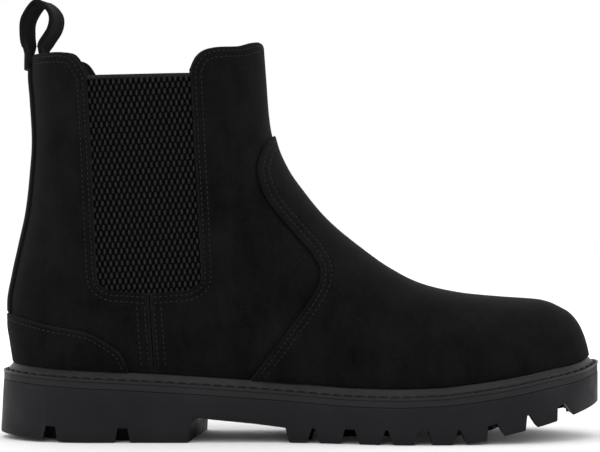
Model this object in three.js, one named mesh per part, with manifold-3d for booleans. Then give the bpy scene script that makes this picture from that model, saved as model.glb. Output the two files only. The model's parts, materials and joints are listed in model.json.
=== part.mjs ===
// Chelsea boot for the right foot, on a lugged rubber unit sole. Millimetres, +Z up, toe towards +X,
// outer (lateral) side towards -Y.
import * as THREE from 'three';
import Module from 'manifold-3d';

const wasm = await Module();
wasm.setup();

// ---- Driving dimensions ----
const SOLE_LENGTH = 305; // heel back to toe front of the sole
const UPPER_WIDTH = 92; // leather to leather across the ball
const SHAFT_HEIGHT = 161; // welt at the heel to the top of the collar
const HEEL_STACK = 38; // ground to the top of the welt at the heel

const LEATHER = 1.6; // one layer of upper leather
const LINING = 1.2;
const INNER_PLY = 1.6; // elastic, toe puff and heel stiffener, all between leather and lining
const LAYER_GAP = 0.65; // clearance between two layers of the upper
const OVERLAY_GAP = 0.95; // clearance under a piece that laps over the quarters
const SEAM_GAP = 0.5; // clearance between two pieces that meet edge to edge

const WELT_THICKNESS = 5.6;
const WELT_FALL = 3.3; // how far the welt's top slopes down, from the leather to the stitches
const WELT_SHOW = 6.3; // welt seen outside the leather along the sides and the heel
const WELT_SHOW_TOE = 4.3;
const WELT_DEPTH = 12.9; // whole width of the welt strip
const MIDSOLE_THICKNESS = 2.4;
const THREAD = 1.2; // thickness of the welt thread
const GROOVE_SET_IN = 1.5; // welt edge to the middle of the stitch groove
const BOARD_THICKNESS = 2.3;
const FOOTBED_THICKNESS = 4;
const SHANK = { length: 100, width: 14, thickness: 1.2, middle: -45 };
const BOTTOM_GAP = 0.4; // clearance between the layers under the foot

const LUG_DEPTH = 7; // height of the tread blocks
const LUG_RING = 15; // width of the ring of blocks round the sole edge
const HEEL_FLARE = 1.3; // how much the heel spreads towards the ground
const HEEL_BREAST = -52; // front face of the heel
const TREAD_START = -2; // rear end of the forefoot tread
const NOTCH_PITCH = 17.9; // spacing of the slots between the forefoot blocks
const NOTCHES = 8;
const FIRST_NOTCH = 6.4;
const STAGGER = 0.5; // inner side's forefoot slots sit this share of the pitch further forward
const HEEL_NOTCHES = [-124.2, -87.9];
const HEEL_NOTCH = { roof: 4.9, mouth: 7.7 }; // widths of a slot at its top and at the ground
const WIDE_NOTCH = { roof: 4.8, mouth: 9.2 };
const NARROW_NOTCH = { roof: 1.4, mouth: 6.4 };

const STRAP_WIDTH = 22; // pull loop and back strip
const STRAP_THICKNESS = 2.2;
const STRIP_THICKNESS = 1.5;
const LOOP_LEAN = 0.115; // sideways twist of the loop, mm along X per mm along Y
const GORE_MARGIN = 8; // elastic hidden under the leather on each side
const UNDERLAP = 11; // front quarter hidden under the vamp

// ---- The shape of the last, drawn for one size and stretched to the dimensions above ----
const LAST = { length: 305, width: 92, height: 161, seat: 38 };
const SHIN_ROUND = 50; // depth of the rounded front of the shaft
const HEEL_ROUND = 40;
const TOE_ROUND = 40;
const CROWN = 2.5; // fullness of the forefoot's cross-section
const TUCK = 1.1; // how much the upper draws in where it meets the welt
const WAIST_TUCK = 2.6; // hollow on the inner side of the arch

const stretchX = SOLE_LENGTH / LAST.length;
const stretchY = UPPER_WIDTH / LAST.width;
const stretchZ = SHAFT_HEIGHT / LAST.height;
const overlayGap = OVERLAY_GAP * Math.max(stretchX, stretchY, stretchZ, 1); // grows with the flat facets
const FACETED_GAP = 0.65; // clearance that the counts of columns below are fine enough for
const facets = (count) => Math.ceil(count * Math.sqrt(FACETED_GAP / LAYER_GAP));

// Smooth curve through [x, y] points that never overshoots them.
function throughPoints(points) {
  const end = points.length - 1;
  const spans = [];
  const rises = [];
  for (let i = 0; i < end; i += 1) {
    spans.push(points[i + 1][0] - points[i][0]);
    rises.push((points[i + 1][1] - points[i][1]) / spans[i]);
  }
  const slopeAt = (i) => {
    if (i === 0) return rises[0];
    if (i === end) return rises[end - 1];
    if (rises[i - 1] * rises[i] <= 0) return 0;
    const before = 2 * spans[i] + spans[i - 1];
    const after = spans[i] + 2 * spans[i - 1];
    return (before + after) / (before / rises[i - 1] + after / rises[i]);
  };
  const slopes = points.map((_, i) => slopeAt(i));
  return (x) => {
    if (x <= points[0][0]) return points[0][1] + slopes[0] * (x - points[0][0]);
    if (x >= points[end][0]) return points[end][1] + slopes[end] * (x - points[end][0]);
    let i = 0;
    while (x > points[i + 1][0]) i += 1;
    const t = (x - points[i][0]) / spans[i];
    const rest = 1 - t;
    const from = points[i][1] * (1 + 2 * t) + slopes[i] * spans[i] * t;
    const to = points[i + 1][1] * (3 - 2 * t) - slopes[i + 1] * spans[i] * rest;
    return from * rest * rest + to * t * t;
  };
}

const smooth = (from, to, x) => THREE.MathUtils.smoothstep(x, from, to);
const mix = (a, b, t) => a + (b - a) * t;

// Quarter-circle rise from 0 at q = 0 to 1 at q = 1.
const roundRise = (q) => Math.sqrt(1 - (1 - THREE.MathUtils.clamp(q, 0, 1)) ** 2);

// Height of the line where the upper meets the welt, over x.
const featherAt = throughPoints([
  [-152, 38.6], [-125, 36.5], [-60, 33], [-30, 31], [0, 28.8], [25, 27.2], [45, 26.9], [68, 27.6],
  [86, 29.5], [104, 32.1], [123, 35.7], [139, 38.4], [148, 41], [153, 43],
]);
// Front of the shaft, instep and toe in side view: x over z.
const frontAt = throughPoints([
  [38, 148.2], [49, 145.9], [56.2, 143.3], [62.9, 138.2], [65.9, 133.1], [69.5, 122.9], [71, 102.5],
  [73.1, 82], [77.7, 61.6], [85.9, 45.2], [98.1, 25.3], [110.4, 11], [122.6, 0.9], [134.9, -7.6],
  [147.2, -12.9], [160, -15.7], [184, -17.6], [203, -19],
]);
// Back of the heel and shaft in side view: x over z.
const backAt = throughPoints([
  [36, -144.6], [49, -146.6], [57, -147.7], [67.5, -147.9], [81.8, -145.6], [98.1, -142],
  [114.5, -138.5], [132.9, -136.4], [150, -135.3], [171.7, -136.4], [184, -137.3], [200, -137],
]);
const shaftWidthAt = throughPoints([
  [36, 32.4], [52, 34.2], [75, 34.6], [100, 35], [130, 36], [165, 38], [200, 39.5],
]);
// Half-widths of the forefoot where it meets the welt, over x, from the line down its middle.
const lateralWidthAt = throughPoints([
  [-40, 33], [-20, 34.4], [0, 39], [30, 45.3], [55, 48], [80, 47.8], [105, 45], [125, 41.5], [148, 38],
]);
const medialWidthAt = throughPoints([
  [-40, 32], [-20, 32], [0, 33.5], [30, 39.6], [55, 44], [75, 45.4], [95, 44], [115, 40], [130, 36.5],
  [148, 34],
]);
const middleAt = (x) => 6 * smooth(20, 150, x);

const RIDGE_LOW = 34;
const RIDGE_HIGH = 203;
const toeTip = frontAt(LAST.seat);

// Height of the instep and toe over x: the front profile turned round.
function topAt(x) {
  let low = RIDGE_LOW;
  let high = RIDGE_HIGH;
  for (let i = 0; i < 48; i += 1) {
    const z = (low + high) / 2;
    if (frontAt(z) > x) low = z;
    else high = z;
  }
  return (low + high) / 2;
}

function shaftForm(x, z) {
  const heel = roundRise((x - backAt(z)) / HEEL_ROUND);
  const shin = roundRise((frontAt(z) - x) / SHIN_ROUND);
  return shaftWidthAt(z) * heel * shin;
}

function footForm(x, z, side) {
  const plan = (side < 0 ? lateralWidthAt(x) : medialWidthAt(x)) * roundRise((toeTip - x) / TOE_ROUND);
  const height = THREE.MathUtils.clamp((z - featherAt(x)) / (topAt(x) - featherAt(x)), 0, 1);
  return plan * Math.sqrt(1 - height ** CROWN);
}

// Distance from the middle plane to the outer face of the leather, on one side.
function halfWidth(x, z, side) {
  const share = smooth(-32, 60, x);
  const whole = mix(shaftForm(x, z), share > 0 ? footForm(x, z, side) : 0, share);
  const lift = THREE.MathUtils.clamp((z - featherAt(x)) / 9, 0, 1);
  const tuck = TUCK * (1 - lift) ** 2 * Math.min(whole / 10, 1);
  const arch = side > 0 ? smooth(-85, -40, x) * (1 - smooth(-40, 10, x)) * (1 - smooth(38, 72, z)) : 0;
  return Math.max(whole - tuck - WAIST_TUCK * arch, 0);
}

// From the last's own drawing to real millimetres.
const toX = (x) => x * stretchX;
const toY = (y) => y * stretchY;
const toZ = (z) => HEEL_STACK + (z - LAST.seat) * stretchZ;
const featherZ = (x) => toZ(featherAt(x / stretchX));

// ---- Outlines in side view, as points { x, z, ridge } on the last ----
const CLEAR = BOTTOM_GAP / stretchZ; // the leather's lower edge stays this far above the welt
const COLLAR_FRONT = 199.3;
const COLLAR_BACK = 193.5;
const SEAM_TOP = { x: -75, z: 73.5 };
const SEAM_FOOT = -72.7;

// Points along a dense line at given shares of its length.
function pointsAt(line, shares) {
  const lengths = [0];
  for (let i = 1; i < line.length; i += 1) {
    lengths.push(lengths[i - 1] + Math.hypot(line[i].x - line[i - 1].x, line[i].z - line[i - 1].z));
  }
  const whole = lengths[lengths.length - 1];
  return shares.map((share) => {
    let i = 1;
    while (i < line.length - 1 && lengths[i] < whole * share) i += 1;
    const t = (whole * share - lengths[i - 1]) / Math.max(lengths[i] - lengths[i - 1], 1e-9);
    const ridge = line[i - 1].ridge === true && line[i].ridge === true;
    return { x: mix(line[i - 1].x, line[i].x, t), z: mix(line[i - 1].z, line[i].z, t), ridge };
  });
}

// The same at count even steps; spread maps 0..1 to 0..1.
function pointsAlong(line, count, spread = (t) => t) {
  return pointsAt(line, Array.from({ length: count + 1 }, (_, k) => spread(k / count)));
}

// Dense line through a few points, as a smooth curve.
function curveThrough(points) {
  const curve = new THREE.SplineCurve(points.map(([x, z]) => new THREE.Vector2(x, z)));
  return curve.getPoints(points.length * 16).map((p) => ({ x: p.x, z: p.y }));
}

const SAMPLES = 240;
// Ridge line of the instep and toe between two x values, closer together towards the toe.
function instepLine(from, to) {
  return Array.from({ length: SAMPLES + 1 }, (_, i) => {
    const x = mix(from, to, Math.sin((Math.PI / 2) * (i / SAMPLES)));
    return { x, z: topAt(x), ridge: true };
  });
}
function shinLine(high, low) {
  return Array.from({ length: SAMPLES + 1 }, (_, i) => {
    const z = mix(high, low, i / SAMPLES);
    return { x: frontAt(z), z, ridge: true };
  });
}
function heelLine(high, low) {
  return Array.from({ length: SAMPLES + 1 }, (_, i) => {
    const z = mix(high, low, i / SAMPLES);
    return { x: backAt(z), z, ridge: true };
  });
}
function featherLine(from, to) {
  return Array.from({ length: SAMPLES + 1 }, (_, i) => {
    const x = mix(from, to, i / SAMPLES);
    return { x, z: featherAt(x) + CLEAR };
  });
}
const heelFoot = backAt(featherAt(backAt(LAST.seat)) + CLEAR);
const toeFoot = frontAt(featherAt(toeTip) + CLEAR);

const VAMP_TOP = { x: frontAt(152.6), z: 152.6, ridge: true };
const VAMP_CORNER = -24.9;
const vampEdge = curveThrough([
  [VAMP_TOP.x, VAMP_TOP.z], [-18.8, 146.4], [-21.2, 139.2], [-21.4, 132.6], [-16.6, 119.7],
  [-2.2, 102.1], [6.2, 92.5], [10.1, 83.1], [5.7, 71.3], [-12.6, 46.3],
  [VAMP_CORNER, featherAt(VAMP_CORNER) + CLEAR],
]);
// Hidden edge of the front quarter, under the vamp.
const UNDERLAP_TOP = VAMP_TOP.z - UNDERLAP;
const UNDERLAP_FOOT = VAMP_CORNER + UNDERLAP;
const underlapEdge = curveThrough([
  [frontAt(UNDERLAP_TOP), UNDERLAP_TOP], [-22.2 + UNDERLAP, 131], [-17 + UNDERLAP, 121.5],
  [-3.6 + UNDERLAP, 107.5], [5.6 + UNDERLAP, 95], [8.2 + UNDERLAP, 83], [6 + UNDERLAP, 70],
  [-4 + UNDERLAP, 54], [UNDERLAP_FOOT, featherAt(UNDERLAP_FOOT) + CLEAR],
]);
// The opening in the leather that the elastic fills: straight top and bottom, rounded low corners.
const GORE = {
  topRear: [-106, 181.5],
  topFront: [-54.3, 182.9],
  lowRear: [-101, 84],
  lowFront: [-49.2, 84],
  footRear: [-94, 74.7],
  footFront: [-56, 75],
};
const FRONT_CORNER = [-54, 184.6]; // where the collar turns down in front of the elastic
const goreFrontEdge = curveThrough([FRONT_CORNER, [-52.4, 150], [-50.6, 115], GORE.lowFront]);
const goreFrontCorner = curveThrough([GORE.lowFront, [-50.2, 78.4], GORE.footFront]);
const goreRearEdge = curveThrough([GORE.topRear, [-104.2, 150], [-102.6, 115], GORE.lowRear]);
const goreRearCorner = curveThrough([GORE.lowRear, [-99.6, 78], GORE.footRear]);
const spotOf = ([x, z]) => ({ x, z });

const shifted = (line, dx) => line.map((p) => ({ x: p.x + dx, z: p.z, ridge: p.ridge }));
const straight = (a, b) => [a, b];
const joined = (...runs) => runs.reduce((all, run) => (all.length ? all.concat(run.slice(1)) : run), []);

// Patch between four outlines: left and right run downwards, top and bottom from left to right.
// Its rows are straight, apart from the few that follow a curved top or bottom.
const FOLLOW = 4;
function patchBetween(left, right, top, bottom, spread) {
  const rows = left.length - 1;
  const columns = top.length - 1;
  return left.map((_, j) => top.map((__, i) => {
    const v = j / rows;
    const t = spread(i / columns);
    const blend = (key) => {
      const straightRow = (row) => mix(left[row][key], right[row][key], t);
      const bentTop = (top[i][key] - straightRow(0)) * (1 - v) ** FOLLOW;
      const bentBottom = (bottom[i][key] - straightRow(rows)) * v ** FOLLOW;
      return straightRow(j) + bentTop + bentBottom;
    };
    return { x: blend('x'), z: blend('z'), ridge: i === 0 && left[j].ridge === true };
  }));
}
const fromRidge = (t) => t ** 1.9; // even steps round a rounded ridge
const bothEnds = (t) => (1 - Math.cos(Math.PI * t)) / 2;
const repeated = (point, count) => Array.from({ length: count + 1 }, () => point);

// Where the rows of the front patches leave their front edge, as shares of its length.
const VAMP_ROWS = [0, 0.03, 0.07, 0.12, 0.18, 0.25, 0.32, 0.39, 0.46, 0.53, 0.6, 0.66, 0.76, 0.88, 1];
const UNDERLAP_ROWS = [0, 0.07, 0.14, 0.21, 0.28, 0.35, 0.417, 0.48, 0.55, 0.615, 0.74, 0.87, 1];

const WRAP = 7; // columns from the ridge to the edge on one side

function vampPatch() {
  const welted = 10;
  const ridge = instepLine(VAMP_TOP.x, toeFoot);
  const ridgeSpread = throughPoints([[0, 0], [0.05, 0.03], [0.3, 0.23], [0.565, 0.47], [1, 1]]);
  const late = (t) => Math.sin((Math.PI / 2) * t);
  const edge = pointsAt(vampEdge, VAMP_ROWS);
  const feather = pointsAlong(featherLine(VAMP_CORNER, toeFoot), welted, late);
  const left = pointsAlong(ridge, edge.length - 1 + welted, ridgeSpread);
  const right = joined(edge, feather);
  const tip = { x: toeFoot, z: topAt(toeFoot), ridge: true };
  left[left.length - 1] = tip;
  right[right.length - 1] = tip;
  right[0] = left[0];
  return patchBetween(left, right, repeated(left[0], WRAP), repeated(tip, WRAP), fromRidge);
}

// Front of the shaft, down to a given front edge that leaves the ridge at ridgeEnd.
function frontPatch(frontEdge, ridgeEnd) {
  const columns = 7;
  const rows = 17;
  const shin = pointsAlong(shinLine(COLLAR_FRONT, ridgeEnd), rows - frontEdge.length + 1);
  const left = joined(shin, frontEdge);
  const seam = { x: SEAM_TOP.x + SEAM_GAP / 2, z: SEAM_TOP.z };
  const foot = SEAM_FOOT + SEAM_GAP / 2;
  const right = joined(
    pointsAlong(goreFrontEdge, rows - 6),
    pointsAlong(goreFrontCorner, 2),
    [spotOf(GORE.footFront), seam],
    pointsAlong(straight(seam, { x: foot, z: featherAt(foot) + CLEAR }), 3),
  );
  const top = curveThrough([
    [left[0].x, COLLAR_FRONT], [-21.9, 199.8], [-30, 197], [-43.4, 195.5], [-50.3, 191.5], FRONT_CORNER,
  ]);
  const low = featherLine(left[left.length - 1].x, foot);
  const topPoints = pointsAlong(top, columns, fromRidge);
  topPoints[0] = left[0];
  return patchBetween(left, right, topPoints, pointsAlong(low, columns, fromRidge), fromRidge);
}

function rearPatch(columns) {
  const seam = { x: SEAM_TOP.x - SEAM_GAP / 2, z: SEAM_TOP.z };
  const foot = SEAM_FOOT - SEAM_GAP / 2;
  const right = joined(
    pointsAlong(goreRearEdge, 7),
    pointsAlong(goreRearCorner, 2),
    pointsAlong(straight(spotOf(GORE.footRear), seam), 2),
    pointsAlong(straight(seam, { x: foot, z: featherAt(foot) + CLEAR }), 3),
  );
  const heelEnd = featherAt(heelFoot) + CLEAR;
  const left = joined(
    pointsAlong(heelLine(COLLAR_BACK, 92), 7),
    pointsAlong(heelLine(92, 76), 2),
    pointsAlong(heelLine(76, 64), 2),
    pointsAlong(heelLine(64, heelEnd), 3),
  );
  const top = curveThrough([
    [left[0].x, COLLAR_BACK], [-128, 193.6], [-118, 193.2], [-112.2, 190.6], GORE.topRear,
  ]);
  const low = featherLine(left[left.length - 1].x, foot);
  const topPoints = pointsAlong(top, columns, fromRidge);
  topPoints[0] = left[0];
  return patchBetween(left, right, topPoints, pointsAlong(low, columns, fromRidge), fromRidge);
}

function gorePatch() {
  const low = GORE.footRear[1] - GORE_MARGIN;
  const topRear = spotOf([GORE.topRear[0] - GORE_MARGIN, GORE.topRear[1]]);
  const topFront = spotOf([GORE.topFront[0] + GORE_MARGIN, GORE.topFront[1]]);
  const lowRear = spotOf([GORE.lowRear[0] - GORE_MARGIN + 1, low]);
  const lowFront = spotOf([GORE.lowFront[0] + GORE_MARGIN - 1, low]);
  const rows = 8;
  const columns = 8;
  return patchBetween(
    pointsAlong(straight(topRear, lowRear), rows),
    pointsAlong(straight(topFront, lowFront), rows),
    pointsAlong(straight(topRear, topFront), columns, bothEnds),
    pointsAlong(straight(lowRear, lowFront), columns, bothEnds),
    bothEnds,
  );
}

// Patch round the heel, closed in front by a top edge that runs down to the welt.
function heelPatch(topEdge, rows, columns) {
  const top = pointsAlong(curveThrough(topEdge), columns, fromRidge);
  const heelEnd = featherAt(heelFoot) + CLEAR;
  const left = pointsAlong(heelLine(topEdge[0][1], heelEnd), rows);
  const tip = { x: topEdge[topEdge.length - 1][0], z: topEdge[topEdge.length - 1][1] };
  top[0] = left[0];
  const bottom = pointsAlong(featherLine(left[rows].x, tip.x), columns, fromRidge);
  return patchBetween(left, repeated(tip, rows), top, bottom, fromRidge);
}
const coverEdge = [
  [backAt(62.9), 62.9], [-135, 59.8], [-122.8, 57.1], [-111.7, 55.3], [-102.3, 52.4], [-91.7, 45.8],
  [-88.3, 41.9], [-85.3, featherAt(-85.3) + CLEAR],
];
const stiffenerEdge = [
  [backAt(84), 84], [-135, 81.5], [-122, 74], [-112, 63], [-101, 52], [-92, 42.5],
  [-86, featherAt(-86) + CLEAR],
];

// ---- Sheets: a patch given thickness ----
const key = (x, y, z) => `${Math.round(x * 500)},${Math.round(y * 500)},${Math.round(z * 500)}`;

// Outward direction of the leather's outer face, from the slope of its width. Close to a ridge the
// slope has no limit, and the faces' own direction is used there.
const STEEP = 9;
function slopeNormal({ x, z }, side) {
  const step = 0.5;
  const alongX = (halfWidth(x + step, z, side) - halfWidth(x - step, z, side)) / (2 * step);
  const low = Math.max(z - step, featherAt(x));
  const alongZ = (halfWidth(x, z + step, side) - halfWidth(x, low, side)) / (z + step - low);
  const drift = (middleAt(x + step) - middleAt(x - step)) / (2 * step);
  return new THREE.Vector3(
    (-(alongX + side * drift) * stretchY) / stretchX,
    side,
    (-alongZ * stretchY) / stretchZ,
  );
}

class Surface {
  constructor() {
    this.points = [];
    this.faces = [];
    this.index = new Map();
  }

  add(spot, side, seamed) {
    const width = spot.ridge ? 0 : halfWidth(spot.x, spot.z, side);
    const clear = seamed ? SEAM_GAP / 2 : 0;
    const y = toY(middleAt(spot.x)) + side * Math.max(toY(width), clear);
    const [x, z] = [toX(spot.x), toZ(spot.z)];
    const name = key(x, y, z);
    if (!this.index.has(name)) {
      this.index.set(name, this.points.length);
      const floor = Math.abs(spot.z - featherAt(spot.x) - CLEAR) < 0.15;
      const middle = spot.ridge === true;
      const slope = width > STEEP ? slopeNormal(spot, side) : null;
      const normal = new THREE.Vector3();
      this.points.push({ at: new THREE.Vector3(x, y, z), spot, floor, middle, slope, normal });
    }
    return this.index.get(name);
  }

  face(a, b, c) {
    if (a === b || b === c || a === c) return;
    const [p, q, r] = [a, b, c].map((i) => this.points[i].at);
    const normal = q.clone().sub(p).cross(r.clone().sub(p));
    const middle = (p.y + q.y + r.y) / 3 - toY(middleAt((p.x + q.x + r.x) / 3 / stretchX));
    const turned = normal.y * middle < 0;
    if (turned) normal.negate();
    this.faces.push(turned ? [a, c, b] : [a, b, c]);
    [a, b, c].forEach((i) => this.points[i].normal.add(normal));
  }

  addPatch(patch, side, seamed) {
    const ids = patch.map((row) => row.map((spot) => this.add(spot, side, seamed)));
    for (let j = 0; j + 1 < ids.length; j += 1) {
      for (let i = 0; i + 1 < ids[j].length; i += 1) {
        this.face(ids[j][i], ids[j][i + 1], ids[j + 1][i + 1]);
        this.face(ids[j][i], ids[j + 1][i + 1], ids[j + 1][i]);
      }
    }
  }

  layer(offset) {
    return this.points.map(({ at, spot, floor, middle, slope, normal }) => {
      const way = (slope || normal).clone();
      if (middle) way.y = 0;
      if (floor) way.z = 0;
      return at.clone().addScaledVector(way.normalize(), offset(spot.x, spot.z));
    });
  }

  solid(outer, inner) {
    const count = this.points.length;
    const corners = this.layer(outer).concat(this.layer(inner));
    const triangles = [];
    const open = new Map();
    this.faces.forEach(([a, b, c]) => {
      triangles.push([a, b, c], [a + count, c + count, b + count]);
      [[a, b], [b, c], [c, a]].forEach(([from, to]) => {
        if (open.has(`${to},${from}`)) open.delete(`${to},${from}`);
        else open.set(`${from},${to}`, [from, to]);
      });
    });
    open.forEach(([from, to]) => {
      triangles.push([to, from, from + count], [to, from + count, to + count]);
    });
    return geometryOf(corners, triangles);
  }
}

function geometryOf(corners, triangles) {
  const geometry = new THREE.BufferGeometry();
  const flat = corners.flatMap((p) => [p.x, p.y, p.z]);
  geometry.setAttribute('position', new THREE.Float32BufferAttribute(flat, 3));
  geometry.setIndex(triangles.flat());
  return geometry;
}

// sides: -1 lateral, 1 medial. Offsets run outwards from the outer face of the quarters.
function sheet(patch, sides, outer, inner) {
  const surface = new Surface();
  sides.forEach((side) => surface.addPatch(patch, side, sides.length === 1));
  return surface.solid(outer, inner);
}
const BOTH = [-1, 1];
const LATERAL = [-1];
const MEDIAL = [1];

// ---- Layers of the upper, as offsets from the outer face of the quarters ----
const quarterOut = () => 0;
const quarterIn = () => -LEATHER;
const plyOut = () => -LEATHER - LAYER_GAP;
const plyIn = () => -LEATHER - LAYER_GAP - INNER_PLY;
const overlayIn = () => overlayGap;
const overlayOut = () => overlayGap + LEATHER;

function distanceTo(line, x, z) {
  let best = Infinity;
  for (let i = 0; i < line.length; i += 4) {
    best = Math.min(best, Math.hypot(line[i].x - x, line[i].z - z));
  }
  return best;
}
// The vamp lies on top of the quarter near its edge and sinks to the quarter's level further forward.
const VAMP_SINK = 16;
function vampOut(x, z) {
  const away = smooth(UNDERLAP + 10, UNDERLAP + 10 + VAMP_SINK, distanceTo(vampEdge, x, z));
  return overlayOut() * (1 - away);
}
const vampIn = (x, z) => vampOut(x, z) - LEATHER;

// The lining lies deeper where a ply (elastic or stiffener) lies between it and the leather.
function liningOut(x, z) {
  const frontCollar = smooth(-42, -32, x) * smooth(120, 150, z);
  const backCollar = (1 - smooth(-126, -117, x)) * smooth(100, 125, z);
  const deep = 1 - Math.max(frontCollar, backCollar);
  return -LEATHER - LAYER_GAP - (INNER_PLY + LAYER_GAP) * deep;
}
const liningIn = (x, z) => liningOut(x, z) - LINING;
const DEEPEST = LEATHER + LINING + INNER_PLY + 2 * LAYER_GAP;

// ---- Plan outlines: the upper's section at a height above the welt, moved in or out ----
const STATIONS = 26;

function sectionEnds(rise) {
  let heel = heelFoot;
  let toe = toeTip;
  for (let i = 0; i < 30; i += 1) {
    heel = backAt(featherAt(heel) + rise);
    toe = mix(toe, frontAt(featherAt(toe) + rise), 0.5);
  }
  return [heel, toe];
}

// Loop of points round the foot: lateral side from heel to toe, then medial side back.
function outlineAt(rise, moved) {
  const [heel, toe] = sectionEnds(rise);
  const loop = [];
  const place = (i, side) => {
    const x = mix(heel, toe, bothEnds(i / STATIONS));
    const width = i === 0 || i === STATIONS ? 0 : halfWidth(x, featherAt(x) + rise, side);
    loop.push(new THREE.Vector2(toX(x), toY(middleAt(x) + side * width)));
  };
  for (let i = 0; i <= STATIONS; i += 1) place(i, -1);
  for (let i = STATIONS - 1; i > 0; i -= 1) place(i, 1);
  return moveLoop(loop, moved);
}

function loopNormals(loop) {
  return loop.map((_, i) => {
    const before = loop[(i + loop.length - 1) % loop.length];
    const after = loop[(i + 1) % loop.length];
    return new THREE.Vector2(after.y - before.y, before.x - after.x).normalize();
  });
}
function moveLoop(loop, moved) {
  const normals = loopNormals(loop);
  const by = typeof moved === 'number' ? () => moved : moved;
  return loop.map((p, i) => p.clone().addScaledVector(normals[i], by(p.x)));
}
// Loop split into pairs that face each other across the foot.
function pairs(loop) {
  const middle = loop.length / 2;
  return Array.from({ length: middle + 1 }, (_, i) => [loop[i], loop[(loop.length - i) % loop.length]]);
}

const weltShow = (x) => mix(WELT_SHOW, WELT_SHOW_TOE, smooth(95, 145, x / stretchX));
const soleLoop = outlineAt(0, weltShow);

// Plate between two outlines (upper and lower), bent to follow heights that depend on x.
function plate(upper, lower, topZ, bottomZ) {
  const corners = [];
  const ring = (pairList, zOf) => pairList.map((pair) => pair.map((p) => {
    corners.push(new THREE.Vector3(p.x, p.y, zOf(p.x)));
    return corners.length - 1;
  }));
  const top = ring(upper, topZ);
  const bottom = ring(lower, bottomZ);
  const triangles = [];
  const quad = (a, b, c, d) => triangles.push([a, b, c], [a, c, d]);
  const last = top.length - 1;
  for (let i = 0; i < last; i += 1) {
    const [[tl, tm], [nl, nm]] = [top[i], top[i + 1]];
    const [[bl, bm], [cl, cm]] = [bottom[i], bottom[i + 1]];
    quad(tl, nl, nm, tm);
    quad(bl, bm, cm, cl);
    quad(tl, bl, cl, nl);
    quad(tm, nm, cm, bm);
  }
  quad(top[0][0], top[0][1], bottom[0][1], bottom[0][0]);
  quad(top[last][1], top[last][0], bottom[last][0], bottom[last][1]);
  return welded(geometryOf(corners, triangles));
}

// Join corners that lie on each other and drop the faces that this closes up.
function welded(geometry) {
  const position = geometry.getAttribute('position');
  const seen = new Map();
  const corners = [];
  const ids = Array.from({ length: position.count }, (_, i) => {
    const p = new THREE.Vector3().fromBufferAttribute(position, i);
    const name = key(p.x, p.y, p.z);
    if (!seen.has(name)) {
      seen.set(name, corners.length);
      corners.push(p);
    }
    return seen.get(name);
  });
  const source = geometry.index ? Array.from(geometry.index.array) : ids.map((_, i) => i);
  const triangles = [];
  for (let i = 0; i < source.length; i += 3) {
    const [a, b, c] = [ids[source[i]], ids[source[i + 1]], ids[source[i + 2]]];
    if (a !== b && b !== c && a !== c) triangles.push([a, b, c]);
  }
  return geometryOf(corners, triangles);
}

// ---- Joining and cutting ----
function toManifold(geometry) {
  const clean = welded(geometry);
  return new wasm.Manifold(new wasm.Mesh({
    numProp: 3,
    vertProperties: new Float32Array(clean.getAttribute('position').array),
    triVerts: new Uint32Array(clean.index.array),
  }));
}
function fromManifold(solid) {
  const mesh = solid.getMesh();
  const geometry = new THREE.BufferGeometry();
  geometry.setAttribute('position', new THREE.BufferAttribute(new Float32Array(mesh.vertProperties), 3));
  geometry.setIndex(new THREE.BufferAttribute(new Uint32Array(mesh.triVerts), 1));
  return geometry;
}

// ---- Bottom ----
const weltUnder = (x) => featherZ(x) - WELT_THICKNESS;
const midsoleTop = (x) => weltUnder(x) - BOTTOM_GAP;
const midsoleUnder = (x) => midsoleTop(x) - MIDSOLE_THICKNESS;
const outsoleTop = (x) => midsoleUnder(x) - BOTTOM_GAP;
// Underside of the tread: a little worn up at the back of the heel, flat, then rising to the toe.
const treadAt = throughPoints([
  [-160, 3.1], [-150, 2.6], [-141, 1.9], [-131, 1.2], [-120, 0.5], [-108, 0],
  [60, 0], [75, 0], [90, 1.5], [103, 4.6], [126, 10], [141, 14.2], [153, 18],
]);
const treadZ = (x) => treadAt(x / stretchX);

const sweepLoop = (loop, section) => {
  const normals = loopNormals(loop);
  const corners = [];
  loop.forEach((p, i) => section.forEach(([out, up]) => {
    const x = p.x + normals[i].x * out;
    const y = p.y + normals[i].y * out;
    corners.push(new THREE.Vector3(x, y, featherZ(x) + up));
  }));
  const triangles = [];
  const size = section.length;
  loop.forEach((_, i) => {
    const next = ((i + 1) % loop.length) * size;
    for (let k = 0; k < size; k += 1) {
      const l = (k + 1) % size;
      const [a, b, c, d] = [i * size + k, i * size + l, next + l, next + k];
      triangles.push([a, c, b], [a, d, c]);
    }
  });
  return geometryOf(corners, triangles);
};

const GROOVE_HALF = THREAD / 2 + 0.35;
const GROOVE_FLOOR = -WELT_FALL - 1.25;
const THREAD_UP = GROOVE_FLOOR + 0.35 + THREAD / 2; // middle of the thread, under the welt's top
const FLAT_TOP = WELT_SHOW_TOE + 1; // the flat top that the leather stands on starts this far in

function weltGeometry() {
  const groove = [-GROOVE_SET_IN + GROOVE_HALF, -GROOVE_SET_IN - GROOVE_HALF];
  const section = [
    [-WELT_DEPTH, -WELT_THICKNESS], [-0.2, -WELT_THICKNESS], [0.2, -WELT_THICKNESS + 0.7],
    [groove[0], GROOVE_FLOOR + 0.25], [groove[0], GROOVE_FLOOR], [groove[1], GROOVE_FLOOR],
    [groove[1], -WELT_FALL], [-FLAT_TOP + 0.7, -0.5], [-FLAT_TOP, 0], [-WELT_DEPTH, 0],
  ];
  return sweepLoop(soleLoop, section);
}

function threadGeometry() {
  const sides = 6;
  const section = Array.from({ length: sides }, (_, k) => {
    const turn = (2 * Math.PI * k) / sides;
    return [-GROOVE_SET_IN + (THREAD / 2) * Math.cos(turn), THREAD_UP + (THREAD / 2) * Math.sin(turn)];
  });
  return sweepLoop(soleLoop, section);
}

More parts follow.
